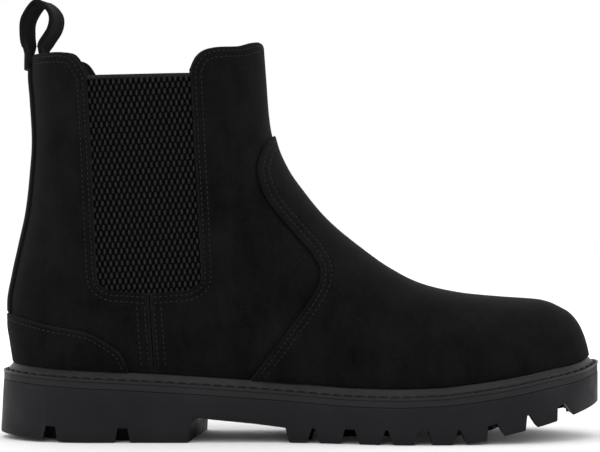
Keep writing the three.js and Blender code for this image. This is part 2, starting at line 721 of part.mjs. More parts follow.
function midsoleGeometry() {
  const outline = pairs(moveLoop(soleLoop, -0.3));
  return plate(outline, outline, midsoleTop, midsoleUnder);
}

// Trapezoid slot straight across the ring of blocks, square to the slope of the tread at x.
function notch(x, side, { at, out }, { roof, mouth }) {
  const slope = Math.atan((treadZ(x + 1) - treadZ(x - 1)) / 2);
  const below = 1.5;
  const low = mouth / 2 + (below * (mouth - roof)) / 2 / LUG_DEPTH;
  const shape = new THREE.Shape();
  shape.moveTo(-low, -below);
  shape.lineTo(low, -below);
  shape.lineTo(roof / 2, LUG_DEPTH);
  shape.lineTo(-roof / 2, LUG_DEPTH);
  const toMiddle = Math.abs(at.y - toY(middleAt(x / stretchX)));
  const inwards = Math.min((LUG_RING + 1.5) / out.y ** 2, toMiddle + 0.5);
  const past = 8;
  const cutter = new THREE.ExtrudeGeometry(shape, { depth: past + inwards, bevelEnabled: false });
  const basis = new THREE.Matrix4().makeBasis(
    new THREE.Vector3(Math.cos(slope), 0, Math.sin(slope)),
    new THREE.Vector3(-Math.sin(slope), 0, Math.cos(slope)),
    new THREE.Vector3(0, -1, 0),
  );
  basis.setPosition(x, at.y + (side < 0 ? inwards : past), treadZ(x));
  return toManifold(cutter.applyMatrix4(basis));
}

// Point of the sole edge at a given x on one side, with its plan normal.
function edgeAt(loop, normals, x, side) {
  const half = loop.length / 2;
  let best = -1;
  loop.forEach((p, i) => {
    const onSide = side < 0 ? i <= half : i >= half || i === 0;
    if (onSide && (best < 0 || Math.abs(p.x - x) < Math.abs(loop[best].x - x))) best = i;
  });
  const towardsToe = loop[best].x < x;
  const step = towardsToe === (side < 0) ? 1 : -1;
  const next = (best + step + loop.length) % loop.length;
  const t = THREE.MathUtils.clamp((x - loop[best].x) / (loop[next].x - loop[best].x), 0, 1);
  return {
    at: loop[best].clone().lerp(loop[next], t),
    out: normals[best].clone().lerp(normals[next], t).normalize(),
  };
}

function notches() {
  const normals = loopNormals(soleLoop);
  const cutters = [];
  const cut = (x, side, size) => {
    cutters.push(notch(toX(x), side, edgeAt(soleLoop, normals, toX(x), side), size));
  };
  BOTH.forEach((side) => {
    HEEL_NOTCHES.forEach((x) => cut(x, side, HEEL_NOTCH));
    const first = FIRST_NOTCH + (side > 0 ? STAGGER * NOTCH_PITCH : 0);
    for (let i = 0; i < NOTCHES; i += 1) {
      cut(first + NOTCH_PITCH * i, side, i % 2 === 1 ? WIDE_NOTCH : NARROW_NOTCH);
    }
  });
  return cutters;
}

// Hollow behind the ring of tread blocks, between two x values.
function treadHollow(from, to) {
  const inner = pairs(moveLoop(soleLoop, -LUG_RING));
  const kept = inner.filter(([p]) => p.x > toX(from) && p.x < toX(to));
  return toManifold(plate(kept, kept, (x) => treadZ(x) + LUG_DEPTH - 0.5, (x) => treadZ(x) - 2));
}

function blockAt(x, y, length, width, turn) {
  const block = new THREE.BoxGeometry(length, width, LUG_DEPTH + 4);
  block.rotateZ(turn);
  block.translate(toX(x), y, treadZ(toX(x)) + (LUG_DEPTH + 4) / 2);
  return toManifold(block);
}

// Cross-shaped blocks down the middle of the forefoot and one bar across the heel.
function middleBlocks() {
  const blocks = [blockAt(-101, 0, 10, 26, 0), blockAt(-101, 0, 30, 9, 0)];
  for (let i = 0; i < 4; i += 1) {
    const x = 26 + 25 * i;
    const y = toY(middleAt(x));
    blocks.push(blockAt(x, y, 17, 7, Math.PI / 4), blockAt(x, y, 17, 7, -Math.PI / 4));
  }
  return blocks;
}

// Everything under the arch, between the heel's front face and the forefoot tread.
function archCut() {
  const [breast, start] = [toX(HEEL_BREAST), toX(TREAD_START)];
  const depth = 130;
  const shape = new THREE.Shape();
  shape.moveTo(breast, -3);
  shape.lineTo(start + 0.4, -3);
  shape.lineTo(start - 2.2, 7.2);
  shape.quadraticCurveTo(mix(breast, start, 0.5), 9.4, breast + 6, 12);
  shape.quadraticCurveTo(breast, 12, breast, 6);
  const cutter = new THREE.ExtrudeGeometry(shape, { depth, bevelEnabled: false, curveSegments: 4 });
  cutter.rotateX(Math.PI / 2);
  cutter.translate(0, depth / 2, 0);
  cutter.translate(-breast, 0, 0);
  cutter.rotateZ(-0.09);
  cutter.translate(breast, 0, 0);
  return toManifold(cutter);
}

function outsoleGeometry() {
  const flare = (x) => HEEL_FLARE * (1 - smooth(-60, 0, x / stretchX));
  const lower = pairs(moveLoop(soleLoop, flare));
  const body = toManifold(plate(pairs(soleLoop), lower, outsoleTop, treadZ));
  let hollow = treadHollow(7, 139).add(treadHollow(-139, -66));
  middleBlocks().forEach((block) => {
    hollow = hollow.subtract(block);
  });
  let sole = body.subtract(archCut()).subtract(hollow);
  notches().forEach((cutter) => {
    sole = sole.subtract(cutter);
  });
  return fromManifold(sole);
}

const shankTop = (x) => featherZ(x) - 2 * BOTTOM_GAP;
// extra widens the plate all round, for the pocket it lies in, and opens that pocket at the top.
function shankPlate(extra) {
  const half = SHANK.length / 2 + extra;
  const side = SHANK.width / 2 + extra;
  const steps = 5;
  const outline = Array.from({ length: steps + 1 }, (_, i) => {
    const x = SHANK.middle + mix(-half, half, i / steps);
    return [new THREE.Vector2(x, -side), new THREE.Vector2(x, side)];
  });
  const top = (x) => shankTop(x) + extra * 4;
  const under = (x) => shankTop(x) - SHANK.thickness - extra;
  return plate(outline, outline, top, under);
}

function fillerGeometry() {
  const outline = pairs(moveLoop(soleLoop, -WELT_DEPTH - BOTTOM_GAP));
  const layer = toManifold(plate(outline, outline, (x) => featherZ(x) - BOTTOM_GAP, weltUnder));
  return fromManifold(layer.subtract(toManifold(shankPlate(BOTTOM_GAP))));
}

const boardUnder = (x) => featherZ(x) + BOTTOM_GAP;
const boardTop = (x) => boardUnder(x) + BOARD_THICKNESS;
const footbedUnder = (x) => boardTop(x) + BOTTOM_GAP;
const footbedTop = (x) => footbedUnder(x) + FOOTBED_THICKNESS;
const INSIDE = -DEEPEST - 1.2; // the board and the footbed stay clear of the lining's folds

function boardGeometry() {
  const outline = pairs(outlineAt(0.5, INSIDE));
  return plate(outline, outline, boardTop, boardUnder);
}
function footbedGeometry() {
  const rise = (BOARD_THICKNESS + 2 * BOTTOM_GAP) / stretchZ;
  const lower = pairs(outlineAt(rise, INSIDE));
  const upper = pairs(outlineAt(rise + FOOTBED_THICKNESS / stretchZ, INSIDE));
  return plate(upper, lower, footbedTop, footbedUnder);
}

// ---- Back strip and pull loop ----
const stripOut = () => overlayGap + STRIP_THICKNESS;
const STRIP_TOP = 186;

// Spot on the back of the shaft at height z, a distance y out from the middle.
function backSpot(z, y) {
  const share = Math.min(y / toY(shaftWidthAt(z)), 1);
  const x = backAt(z) + HEEL_ROUND * (1 - Math.sqrt(1 - share * share));
  return { x, z, ridge: y === 0 };
}

function stripPatch() {
  const rows = 14;
  const columns = 2;
  const bottom = coverEdge[0][1] + 0.9 / stretchZ;
  return Array.from({ length: rows + 1 }, (_, j) => {
    const z = mix(STRIP_TOP, bottom, j / rows);
    return Array.from({ length: columns + 1 }, (__, i) => backSpot(z, (STRAP_WIDTH / 2) * (i / columns)));
  });
}

// Middle line of the loop strap in side view, from the back strip up, over and down inside the collar.
function loopLine() {
  const rearX = toX(backAt(STRIP_TOP)) - overlayGap - STRAP_THICKNESS / 2;
  const innerX = toX(backAt(190)) + LEATHER + LINING + 2 * LAYER_GAP + STRAP_THICKNESS / 2 + 0.3;
  const base = toZ(COLLAR_BACK);
  const points = [
    [rearX - 0.4, toZ(STRIP_TOP) + 0.6], [rearX - 0.4, base - 3], [rearX - 0.5, base + 3],
    [rearX - 1.6, base + 11], [rearX - 0.4, base + 19.5], [rearX + 6.6, base + 27.6],
    [rearX + 14.2, base + 22], [rearX + 14.6, base + 13.5], [innerX + 0.6, base + 4], [innerX, base - 2], [innerX, base - 10],
  ];
  return new THREE.SplineCurve(points.map(([x, z]) => new THREE.Vector2(x, z)));
}

// The strap follows the rounded back where it is sewn on and flattens above it.
function strapBend(z, y) {
  const onLast = Math.min((z - HEEL_STACK) / stretchZ + LAST.seat, COLLAR_BACK);
  const bend = toX(backSpot(onLast, Math.abs(y)).x - backAt(onLast));
  const base = toZ(COLLAR_BACK);
  return bend * mix(1, 0.3, smooth(base, base + 14, z));
}

// Corners of the strap's section: side along Y and face, outside or inside.
const LOOP_SECTION = [[-1, -1], [0, -1], [1, -1], [1, 1], [0, 1], [-1, 1]];

function loopGeometry() {
  const line = loopLine();
  const steps = 30;
  const half = STRAP_THICKNESS / 2;
  const base = toZ(COLLAR_BACK);
  const corners = [];
  for (let i = 0; i <= steps; i += 1) {
    const p = line.getPointAt(i / steps);
    const along = line.getTangentAt(i / steps);
    const lean = LOOP_LEAN * smooth(base, base + 12, p.y);
    LOOP_SECTION.forEach(([side, out]) => {
      const y = (side * STRAP_WIDTH) / 2;
      const x = p.x - along.y * half * out + lean * y + strapBend(p.y, y);
      corners.push(new THREE.Vector3(x, y, p.y + along.x * half * out));
    });
  }
  const size = LOOP_SECTION.length;
  const triangles = [];
  for (let i = 0; i < steps; i += 1) {
    for (let k = 0; k < size; k += 1) {
      const l = (k + 1) % size;
      const [a, b, c, d] = [i * size + k, i * size + l, (i + 1) * size + l, (i + 1) * size + k];
      triangles.push([a, b, c], [a, c, d]);
    }
  }
  const end = steps * size;
  for (let k = 1; k + 1 < size; k += 1) {
    triangles.push([0, k + 1, k], [end, end + k, end + k + 1]);
  }
  return geometryOf(corners, triangles);
}

// ---- Materials ----
const nubuck = () => new THREE.MeshStandardMaterial({ color: 0x17171a, roughness: 0.95, metalness: 0 });
const rubber = () => new THREE.MeshStandardMaterial({ color: 0x26262a, roughness: 0.6, metalness: 0 });
const elastic = () => new THREE.MeshStandardMaterial({ color: 0x101012, roughness: 0.9, metalness: 0 });
const textile = () => new THREE.MeshStandardMaterial({ color: 0x1c1c1e, roughness: 0.95, metalness: 0 });
const board = () => new THREE.MeshStandardMaterial({ color: 0x8a7a60, roughness: 0.9, metalness: 0 });
const cork = () => new THREE.MeshStandardMaterial({ color: 0xa07a4c, roughness: 0.95, metalness: 0 });
const steel = () => new THREE.MeshStandardMaterial({ color: 0x9a9c9e, roughness: 0.35, metalness: 1 });

const group = new THREE.Group();
function addPart(name, geometry, material) {
  const mesh = new THREE.Mesh(geometry, material);
  mesh.name = name;
  group.add(mesh);
}

// ---- Assembly ----
const vamp = vampPatch();
const rear = rearPatch(facets(WRAP + 1));
const front = frontPatch(pointsAt(underlapEdge, UNDERLAP_ROWS), UNDERLAP_TOP);
const liningEdge = shifted(pointsAt(vampEdge, VAMP_ROWS), -0.8);
const frontInside = frontPatch(liningEdge, VAMP_TOP.z);
const cover = heelPatch(coverEdge, 4, 9);
const stiffener = heelPatch(stiffenerEdge, 6, 10);
const gore = gorePatch();

addPart('outsole', outsoleGeometry(), rubber());
addPart('midsole', midsoleGeometry(), rubber());
addPart('welt', weltGeometry(), rubber());
addPart('welt_thread', threadGeometry(), textile());
addPart('bottom_filler', fillerGeometry(), cork());
addPart('shank', shankPlate(0), steel());
addPart('insole_board', boardGeometry(), board());
addPart('footbed', footbedGeometry(), textile());

addPart('vamp', sheet(vamp, BOTH, vampOut, vampIn), nubuck());
addPart('front_quarter', sheet(front, BOTH, quarterOut, quarterIn), nubuck());
addPart('back_quarter_lateral', sheet(rear, LATERAL, quarterOut, quarterIn), nubuck());
addPart('back_quarter_medial', sheet(rear, MEDIAL, quarterOut, quarterIn), nubuck());
addPart('heel_counter_cover', sheet(cover, BOTH, overlayOut, overlayIn), nubuck());
addPart('back_strip', sheet(stripPatch(), BOTH, stripOut, overlayIn), nubuck());
addPart('pull_loop', loopGeometry(), nubuck());
addPart('elastic_gore_lateral', sheet(gore, LATERAL, plyOut, plyIn), elastic());
addPart('elastic_gore_medial', sheet(gore, MEDIAL, plyOut, plyIn), elastic());

addPart('vamp_lining', sheet(vamp, BOTH, liningOut, liningIn), textile());
addPart('front_shaft_lining', sheet(frontInside, BOTH, liningOut, liningIn), textile());
addPart('rear_lining', sheet(rear, BOTH, liningOut, liningIn), textile());
addPart('toe_puff', sheet(vamp.slice(-7), BOTH, plyOut, plyIn), board());
addPart('heel_stiffener', sheet(stiffener, BOTH, plyOut, plyIn), board());

// The origin lies on the ground, under the middle of the whole boot.
const box = new THREE.Box3().setFromObject(group);
const middle = box.getCenter(new THREE.Vector3());
group.position.set(-middle.x, -middle.y, -box.min.z);

export default group;
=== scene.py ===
# Chelsea boot for the right foot: the looks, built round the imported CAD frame.
# Lengths in the shape functions are the last's own millimetres; pieces are made in metres.
import json
import math

import bpy
import numpy as np
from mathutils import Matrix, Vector
from mathutils.kdtree import KDTree


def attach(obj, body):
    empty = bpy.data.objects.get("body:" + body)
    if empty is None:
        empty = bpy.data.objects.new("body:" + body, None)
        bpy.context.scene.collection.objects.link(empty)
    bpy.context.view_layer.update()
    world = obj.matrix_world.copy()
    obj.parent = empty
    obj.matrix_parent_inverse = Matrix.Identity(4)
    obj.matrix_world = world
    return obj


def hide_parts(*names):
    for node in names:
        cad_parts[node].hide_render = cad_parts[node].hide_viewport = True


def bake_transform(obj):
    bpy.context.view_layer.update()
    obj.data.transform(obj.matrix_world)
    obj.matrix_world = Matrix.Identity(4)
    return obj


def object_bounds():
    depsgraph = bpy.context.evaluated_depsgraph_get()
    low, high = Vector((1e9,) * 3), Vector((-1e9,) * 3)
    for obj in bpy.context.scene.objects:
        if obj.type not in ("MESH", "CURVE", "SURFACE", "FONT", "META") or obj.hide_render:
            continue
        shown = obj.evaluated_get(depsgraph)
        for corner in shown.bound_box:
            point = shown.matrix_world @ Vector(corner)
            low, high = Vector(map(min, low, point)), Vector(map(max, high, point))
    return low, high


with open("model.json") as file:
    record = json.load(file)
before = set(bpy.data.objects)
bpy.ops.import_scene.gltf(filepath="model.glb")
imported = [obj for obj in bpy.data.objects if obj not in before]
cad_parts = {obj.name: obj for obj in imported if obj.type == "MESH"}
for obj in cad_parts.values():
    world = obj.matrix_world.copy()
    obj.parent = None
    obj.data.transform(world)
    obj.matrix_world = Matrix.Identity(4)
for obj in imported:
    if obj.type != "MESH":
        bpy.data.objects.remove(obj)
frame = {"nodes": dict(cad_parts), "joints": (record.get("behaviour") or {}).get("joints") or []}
cad_low, cad_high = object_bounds()
RNG = np.random.default_rng(7)

# ---- Camera and light ----
camera = bpy.data.objects.new("camera", bpy.data.cameras.new("camera"))
bpy.context.scene.collection.objects.link(camera)
camera.location = (0.0, -1.15, 0.107)
camera.rotation_euler = (math.radians(90), 0, 0)
camera.data.lens = 135
camera.data.sensor_width = 36
bpy.context.scene.camera = camera
bpy.context.scene.view_settings.view_transform = "Standard"


def lamp(name, place, size, power, aim=(0, 0, 0.09)):
    data = bpy.data.lights.new(name, "AREA")
    data.shape = "RECTANGLE"
    data.size, data.size_y = size
    data.energy = power
    lit = bpy.data.objects.new(name, data)
    lit.location = place
    lit.rotation_euler = (Vector(aim) - Vector(place)).to_track_quat("-Z", "Y").to_euler()
    bpy.context.scene.collection.objects.link(lit)


lamp("softbox_top", (0.05, -0.05, 1.5), (1.6, 1.2), 6)
lamp("softbox_front", (-0.5, -1.7, 1.0), (1.2, 1.0), 6)
lamp("softbox_right", (1.6, -0.4, 0.8), (0.9, 1.2), 8)
lamp("softbox_left", (-1.6, -0.3, 0.7), (0.9, 1.2), 6)
lamp("softbox_back", (-0.4, 1.6, 1.0), (1.4, 1.0), 5)

world = bpy.data.worlds.new("studio")
bpy.context.scene.world = world
world.use_nodes = True
world.node_tree.nodes["Background"].inputs["Color"].default_value = (1, 1, 1, 1)
world.node_tree.nodes["Background"].inputs["Strength"].default_value = 1.0

# ---- Sizes in millimetres, as the CAD has them ----
LEATHER = 1.6
LINING = 1.2
PLY = 1.6  # elastic and stiffeners, between leather and lining
LAYER_GAP = 0.65
OVERLAY_GAP = 0.95
SEAM_GAP = 0.5
SEAT = 38  # ground to the top of the welt at the heel
WELT_THICKNESS = 5.6
WELT_FALL = 3.3
WELT_SHOW = 6.3
WELT_SHOW_TOE = 4.3
WELT_DEPTH = 12.9
MIDSOLE_THICKNESS = 2.4
THREAD = 1.2
GROOVE_SET_IN = 1.5
BOARD_THICKNESS = 2.3
FOOTBED_THICKNESS = 4
BOTTOM_GAP = 0.4
LUG_DEPTH = 7
LUG_RING = 15
HEEL_FLARE = 1.3
HEEL_BREAST = -52
TREAD_START = -2
STRAP_WIDTH = 22
STRAP_THICKNESS = 2.2
UNDERLAP = 11
SHIN_ROUND = 50
HEEL_ROUND = 40
TOE_ROUND = 40
CROWN = 2.5
TUCK = 1.1
WAIST_TUCK = 2.6

# ---- Sizes of what only the looks have ----
GORE_MARGIN = 3.5  # elastic under the leather on each side
STITCH_PITCH = 2.6
STITCH_LENGTH = 1.9
STITCH_RADIUS = 0.34
PULLED_IN = 0.8  # width of the dip that a row of stitches makes
QUARTER_INSETS = (2.0, 4.9)  # the two rows along the collar and the gore
VAMP_INSETS = (2.3, 5.1)
COVER_INSET = 2.6
STRAP_INSET = 2.0

# ---- From the drawing to the frame ----
DRAWN_BACK, DRAWN_FRONT = -152.51, 152.14  # ends of the sole in the drawing below
DRAWN_MIDDLE_Y = 0.618
SCALE = (cad_high.x - cad_low.x) / (DRAWN_FRONT - DRAWN_BACK)
SHIFT_X = (cad_high.x + cad_low.x) / 2 - SCALE * (DRAWN_BACK + DRAWN_FRONT) / 2
SHIFT = np.array([SHIFT_X, -DRAWN_MIDDLE_Y / 1000, 0.0])


def metres(points):
    return np.asarray(points, float) * SCALE + SHIFT


def through(points):
    """Smooth curve through [x, y] points that never overshoots them."""
    xs, ys = np.array(points, float).T
    span = np.diff(xs)
    rise_ = np.diff(ys) / span
    slope = np.zeros(len(xs))
    slope[0], slope[-1] = rise_[0], rise_[-1]
    for i in range(1, len(xs) - 1):
        if rise_[i - 1] * rise_[i] > 0:
            a, b = 2 * span[i] + span[i - 1], span[i] + 2 * span[i - 1]
            slope[i] = (a + b) / (a / rise_[i - 1] + b / rise_[i])

    def at(x):
        x = np.asarray(x, float)
        i = np.clip(np.searchsorted(xs, x) - 1, 0, len(span) - 1)
        t = np.clip((x - xs[i]) / span[i], 0, 1)
        u = 1 - t
        first = ys[i] * (1 + 2 * t) + slope[i] * span[i] * t
        last = ys[i + 1] * (3 - 2 * t) - slope[i + 1] * span[i] * u
        before = slope[0] * np.minimum(x - xs[0], 0)
        after = slope[-1] * np.maximum(x - xs[-1], 0)
        return first * u * u + last * t * t + before + after

    return at


def smooth(low, high, x):
    t = np.clip((np.asarray(x, float) - low) / (high - low), 0, 1)
    return t * t * (3 - 2 * t)


def mix(a, b, t):
    return a + (b - a) * t


def round_rise(q):
    return np.sqrt(1 - (1 - np.clip(q, 0, 1)) ** 2)


# ---- The last: smooth profiles in side view, and widths over x or z ----
feather = through([
    [-152, 38.6], [-125, 36.5], [-60, 33], [-30, 31], [0, 28.8], [25, 27.2], [45, 26.9], [68, 27.6],
    [86, 29.5], [104, 32.1], [123, 35.7], [139, 38.4], [148, 41], [153, 43],
])
front = through([
    [38, 148.2], [49, 145.9], [56.2, 143.3], [62.9, 138.2], [65.9, 133.1], [69.5, 122.9], [71, 102.5],
    [73.1, 82], [77.7, 61.6], [85.9, 45.2], [98.1, 25.3], [110.4, 11], [122.6, 0.9], [134.9, -7.6],
    [147.2, -12.9], [160, -15.7], [184, -17.6], [203, -19],
])
back = through([
    [36, -144.6], [49, -146.6], [57, -147.7], [67.5, -147.9], [81.8, -145.6], [98.1, -142],
    [114.5, -138.5], [132.9, -136.4], [150, -135.3], [171.7, -136.4], [184, -137.3], [200, -137],
])
shaft_width = through([
    [36, 32.4], [52, 34.2], [75, 34.6], [100, 35], [130, 36], [165, 38], [200, 39.5],
])
lateral_width = through([
    [-40, 33], [-20, 34.4], [0, 39], [30, 45.3], [55, 48], [80, 47.8], [105, 45], [125, 41.5], [148, 38],
])
medial_width = through([
    [-40, 32], [-20, 32], [0, 33.5], [30, 39.6], [55, 44], [75, 45.4], [95, 44], [115, 40], [130, 36.5],
    [148, 34],
])
RIDGE_Z = np.linspace(34, 203, 6000)
RIDGE_X = front(RIDGE_Z)
TOE_TIP = float(front(SEAT))


def top(x):
    """Height of the instep and toe over x."""
    return np.interp(x, RIDGE_X[::-1], RIDGE_Z[::-1])


def middle(x):
    return 6 * smooth(20, 150, x)


def half_width(x, z, side):
    x, z = np.asarray(x, float), np.asarray(z, float)
    share = smooth(-32, 60, x)
    shaft = shaft_width(z) * round_rise((x - back(z)) / HEEL_ROUND)
    shaft = shaft * round_rise((front(z) - x) / SHIN_ROUND)
    plan = np.where(side < 0, lateral_width(x), medial_width(x)) * round_rise((TOE_TIP - x) / TOE_ROUND)
    height = np.clip((z - feather(x)) / np.maximum(top(x) - feather(x), 1e-6), 0, 1)
    whole = mix(shaft, plan * np.sqrt(1 - height**CROWN), share)
    lift = np.clip((z - feather(x)) / 9, 0, 1)
    tuck = TUCK * (1 - lift) ** 2 * np.minimum(whole / 10, 1)
    arch = smooth(-85, -40, x) * (1 - smooth(-40, 10, x)) * (1 - smooth(38, 72, z))
    return np.maximum(whole - tuck - WAIST_TUCK * np.where(side > 0, arch, 0), 0)


# ---- Outlines in side view: arrays of [x, z] ----
CLEAR = 0.05
COLLAR_FRONT = 199.3
COLLAR_BACK = 193.5
SEAM_TOP = (-75, 73.5)
SEAM_FOOT = -72.7
VAMP_CORNER = -24.9
VAMP_TOP = (float(front(152.6)), 152.6)
GORE = {
    "top_rear": (-106, 181.5),
    "top_front": (-54.3, 182.9),
    "low_rear": (-101, 84),
    "low_front": (-49.2, 84),
    "foot_rear": (-94, 74.7),
    "foot_front": (-56, 75),
}
FRONT_CORNER = (-54, 184.6)


def foot_at(x):
    return (x, float(feather(x)) + CLEAR)


def spline(points):
    """Dense line through a few points: Catmull-Rom, as the CAD draws it."""
    p = np.array(points, float)
    lines = []
    for i in range(len(p) - 1):
        a, b = p[max(i - 1, 0)], p[min(i + 2, len(p) - 1)]
        t = np.linspace(0, 1, 24, endpoint=False)[:, None]
        m0, m1 = (p[i + 1] - a) / 2, (b - p[i]) / 2
        lines.append(
            (2 * t**3 - 3 * t**2 + 1) * p[i] + (t**3 - 2 * t**2 + t) * m0
            + (3 * t**2 - 2 * t**3) * p[i + 1] + (t**3 - t**2) * m1
        )
    return np.concatenate(lines + [p[-1:]])


def run_of(line):
    """Length of the line up to each of its points."""
    return np.concatenate([[0], np.cumsum(np.linalg.norm(np.diff(line, axis=0), axis=1))])


def along(line, shares):
    """Points at given shares of a dense line's length."""
    line = np.asarray(line, float)
    run = run_of(line)
    want = np.clip(shares, 0, 1) * run[-1]
    return np.stack([np.interp(want, run, line[:, k]) for k in range(line.shape[1])], axis=1)


def length_of(line):
    return float(np.linalg.norm(np.diff(line, axis=0), axis=1).sum())


def profile_line(profile, high, low):
    z = np.linspace(high, low, 300)
    return np.stack([profile(z), z], axis=1)


def feather_line(start, end):
    x = np.linspace(start, end, 300)
    return np.stack([x, feather(x) + CLEAR], axis=1)


heel_foot = float(back(feather(back(SEAT)) + CLEAR))
toe_foot = float(front(feather(TOE_TIP) + CLEAR))
vamp_edge = spline([
    VAMP_TOP, [-18.8, 146.4], [-21.2, 139.2], [-21.4, 132.6], [-16.6, 119.7], [-2.2, 102.1],
    [6.2, 92.5], [10.1, 83.1], [5.7, 71.3], [-12.6, 46.3], foot_at(VAMP_CORNER),
])
UNDERLAP_TOP = VAMP_TOP[1] - UNDERLAP
underlap_edge = spline([
    [float(front(UNDERLAP_TOP)), UNDERLAP_TOP], [-22.2 + UNDERLAP, 131], [-17 + UNDERLAP, 121.5],
    [-3.6 + UNDERLAP, 107.5], [5.6 + UNDERLAP, 95], [8.2 + UNDERLAP, 83], [6 + UNDERLAP, 70],
    [-4 + UNDERLAP, 54], foot_at(VAMP_CORNER + UNDERLAP),
])
gore_front = spline([FRONT_CORNER, [-52.4, 150], [-50.6, 115], GORE["low_front"]])
gore_front_corner = spline([GORE["low_front"], [-50.2, 78.4], GORE["foot_front"]])
gore_rear = spline([GORE["top_rear"], [-104.2, 150], [-102.6, 115], GORE["low_rear"]])
gore_rear_corner = spline([GORE["low_rear"], [-99.6, 78], GORE["foot_rear"]])
front_collar = spline([
    [float(front(COLLAR_FRONT)), COLLAR_FRONT], [-21.9, 199.8], [-30, 197], [-43.4, 195.5],
    [-50.3, 191.5], FRONT_CORNER,
])
back_collar = spline([
    [float(back(COLLAR_BACK)), COLLAR_BACK], [-128, 193.6], [-118, 193.2], [-112.2, 190.6],
    GORE["top_rear"],
])
cover_edge = spline([
    [float(back(62.9)), 62.9], [-135, 59.8], [-122.8, 57.1], [-111.7, 55.3], [-102.3, 52.4],
    [-91.7, 45.8], [-88.3, 41.9], foot_at(-85.3),
])

# ---- Patches: grids of [x, z] between four outlines ----
FOLLOW = 4


def piecewise(parts, rows):
    """Rows along a chain of (line or function, span) parts, at fractional row numbers."""
    found = np.zeros((len(rows), 2))
    start = 0
    for line, span in parts:
        inside = (rows >= start) & (rows <= start + span)
        share = (rows[inside] - start) / span
        found[inside] = line(share) if callable(line) else along(line, share)
        start += span
    return found


def from_ridge(t):
    return t**1.9


def patch(left, right, top_row, bottom_row):
    """Grid ruled from left to right, and bent towards its ends to meet the top and bottom rows."""
    rows, columns = len(left) - 1, len(top_row) - 1
    v = (np.arange(rows + 1) / rows)[:, None, None]
    t = from_ridge(np.arange(columns + 1) / columns)[None, :, None]
    ruled = left[:, None] * (1 - t) + right[:, None] * t
    bent_top = (top_row - ruled[0])[None] * (1 - v) ** FOLLOW
    bent_bottom = (bottom_row - ruled[-1])[None] * v**FOLLOW
    return ruled + bent_top + bent_bottom


def standing(left, right, upper_edge, foot, columns):
    """Patch that stands on the welt, from its left row's end to a foot's x."""
    even = from_ridge(np.linspace(0, 1, columns + 1))
    welted = feather_line(left[-1][0], foot)
    return patch(left, right, along(upper_edge, even), along(welted, even))


def both_ends(t):
    return (1 - np.cos(np.pi * t)) / 2


def repeated(point, count):
    return np.tile(np.array(point, float), (count, 1))


VAMP_ROWS = [0, 0.03, 0.07, 0.12, 0.18, 0.25, 0.32, 0.39, 0.46, 0.53, 0.6, 0.66, 0.76, 0.88, 1]
UNDERLAP_ROWS = [0, 0.07, 0.14, 0.21, 0.28, 0.35, 0.417, 0.48, 0.55, 0.615, 0.74, 0.87, 1]
WELTED_SPANS = 10  # rows of the vamp along the welt


def shares(table):
    """A row's place on a line, from a table of the shares of its length."""
    curve = through([[i / (len(table) - 1), t] for i, t in enumerate(table)])
    return lambda line: (lambda share: along(line, curve(share)))


def vamp_patch(density, columns):
    spans = len(VAMP_ROWS) - 1 + WELTED_SPANS
    rows = np.linspace(0, spans, spans * density + 1)
    ridge_x = mix(VAMP_TOP[0], toe_foot, np.sin(np.pi / 2 * np.linspace(0, 1, 900)))
    ridge = np.stack([ridge_x, top(ridge_x)], axis=1)
    spread = through([[0, 0], [0.05, 0.03], [0.3, 0.23], [0.565, 0.47], [1, 1]])
    left = along(ridge, spread(rows / spans))
    welted = feather_line(VAMP_CORNER, toe_foot)
    right = piecewise([
        (shares(VAMP_ROWS)(vamp_edge), len(VAMP_ROWS) - 1),
        (lambda s: along(welted, np.sin(np.pi / 2 * s)), WELTED_SPANS),
    ], rows)
    tip = (toe_foot, float(top(toe_foot)))
    left[-1] = right[-1] = tip
    right[0] = left[0]
    grid = patch(left, right, repeated(left[0], columns + 1), repeated(tip, columns + 1))
    return grid, np.ones(len(left), bool)


def front_patch(density, columns, inside=False):
    """The front quarter, or inside, the lining that ends under the vamp's edge."""
    line = vamp_edge + [-0.8, 0] if inside else underlap_edge
    table = VAMP_ROWS if inside else UNDERLAP_ROWS
    ridge_end = VAMP_TOP[1] if inside else UNDERLAP_TOP
    spans = 17
    shin = spans - len(table) + 1
    rows = np.linspace(0, spans, spans * density + 1)
    left = piecewise([
        (profile_line(front, COLLAR_FRONT, ridge_end), shin), (shares(table)(line), len(table) - 1),
    ], rows)
    seam = (SEAM_TOP[0] + SEAM_GAP / 2, SEAM_TOP[1])
    foot = SEAM_FOOT + SEAM_GAP / 2
    right = piecewise([
        (gore_front, 11), (gore_front_corner, 2), ([GORE["foot_front"], seam], 1),
        ([seam, foot_at(foot)], 3),
    ], rows)
    return standing(left, right, front_collar, foot, columns), rows <= shin


def rear_patch(density, columns):
    spans = 14
    rows = np.linspace(0, spans, spans * density + 1)
    seam = (SEAM_TOP[0] - SEAM_GAP / 2, SEAM_TOP[1])
    foot = SEAM_FOOT - SEAM_GAP / 2
    end = float(feather(heel_foot)) + CLEAR
    left = piecewise([
        (profile_line(back, COLLAR_BACK, 92), 7), (profile_line(back, 92, 76), 2),
        (profile_line(back, 76, 64), 2), (profile_line(back, 64, end), 3),
    ], rows)
    right = piecewise([
        (gore_rear, 7), (gore_rear_corner, 2), ([GORE["foot_rear"], seam], 2),
        ([seam, foot_at(foot)], 3),
    ], rows)
    return standing(left, right, back_collar, foot, columns), np.ones(len(left), bool)


def heel_patch(edge, rows, columns):
    end = float(feather(heel_foot)) + CLEAR
    left = along(profile_line(back, edge[0][1], end), np.linspace(0, 1, rows + 1))
    right = repeated(edge[-1], rows + 1)
    return standing(left, right, edge, edge[-1][0], columns), np.ones(len(left), bool)


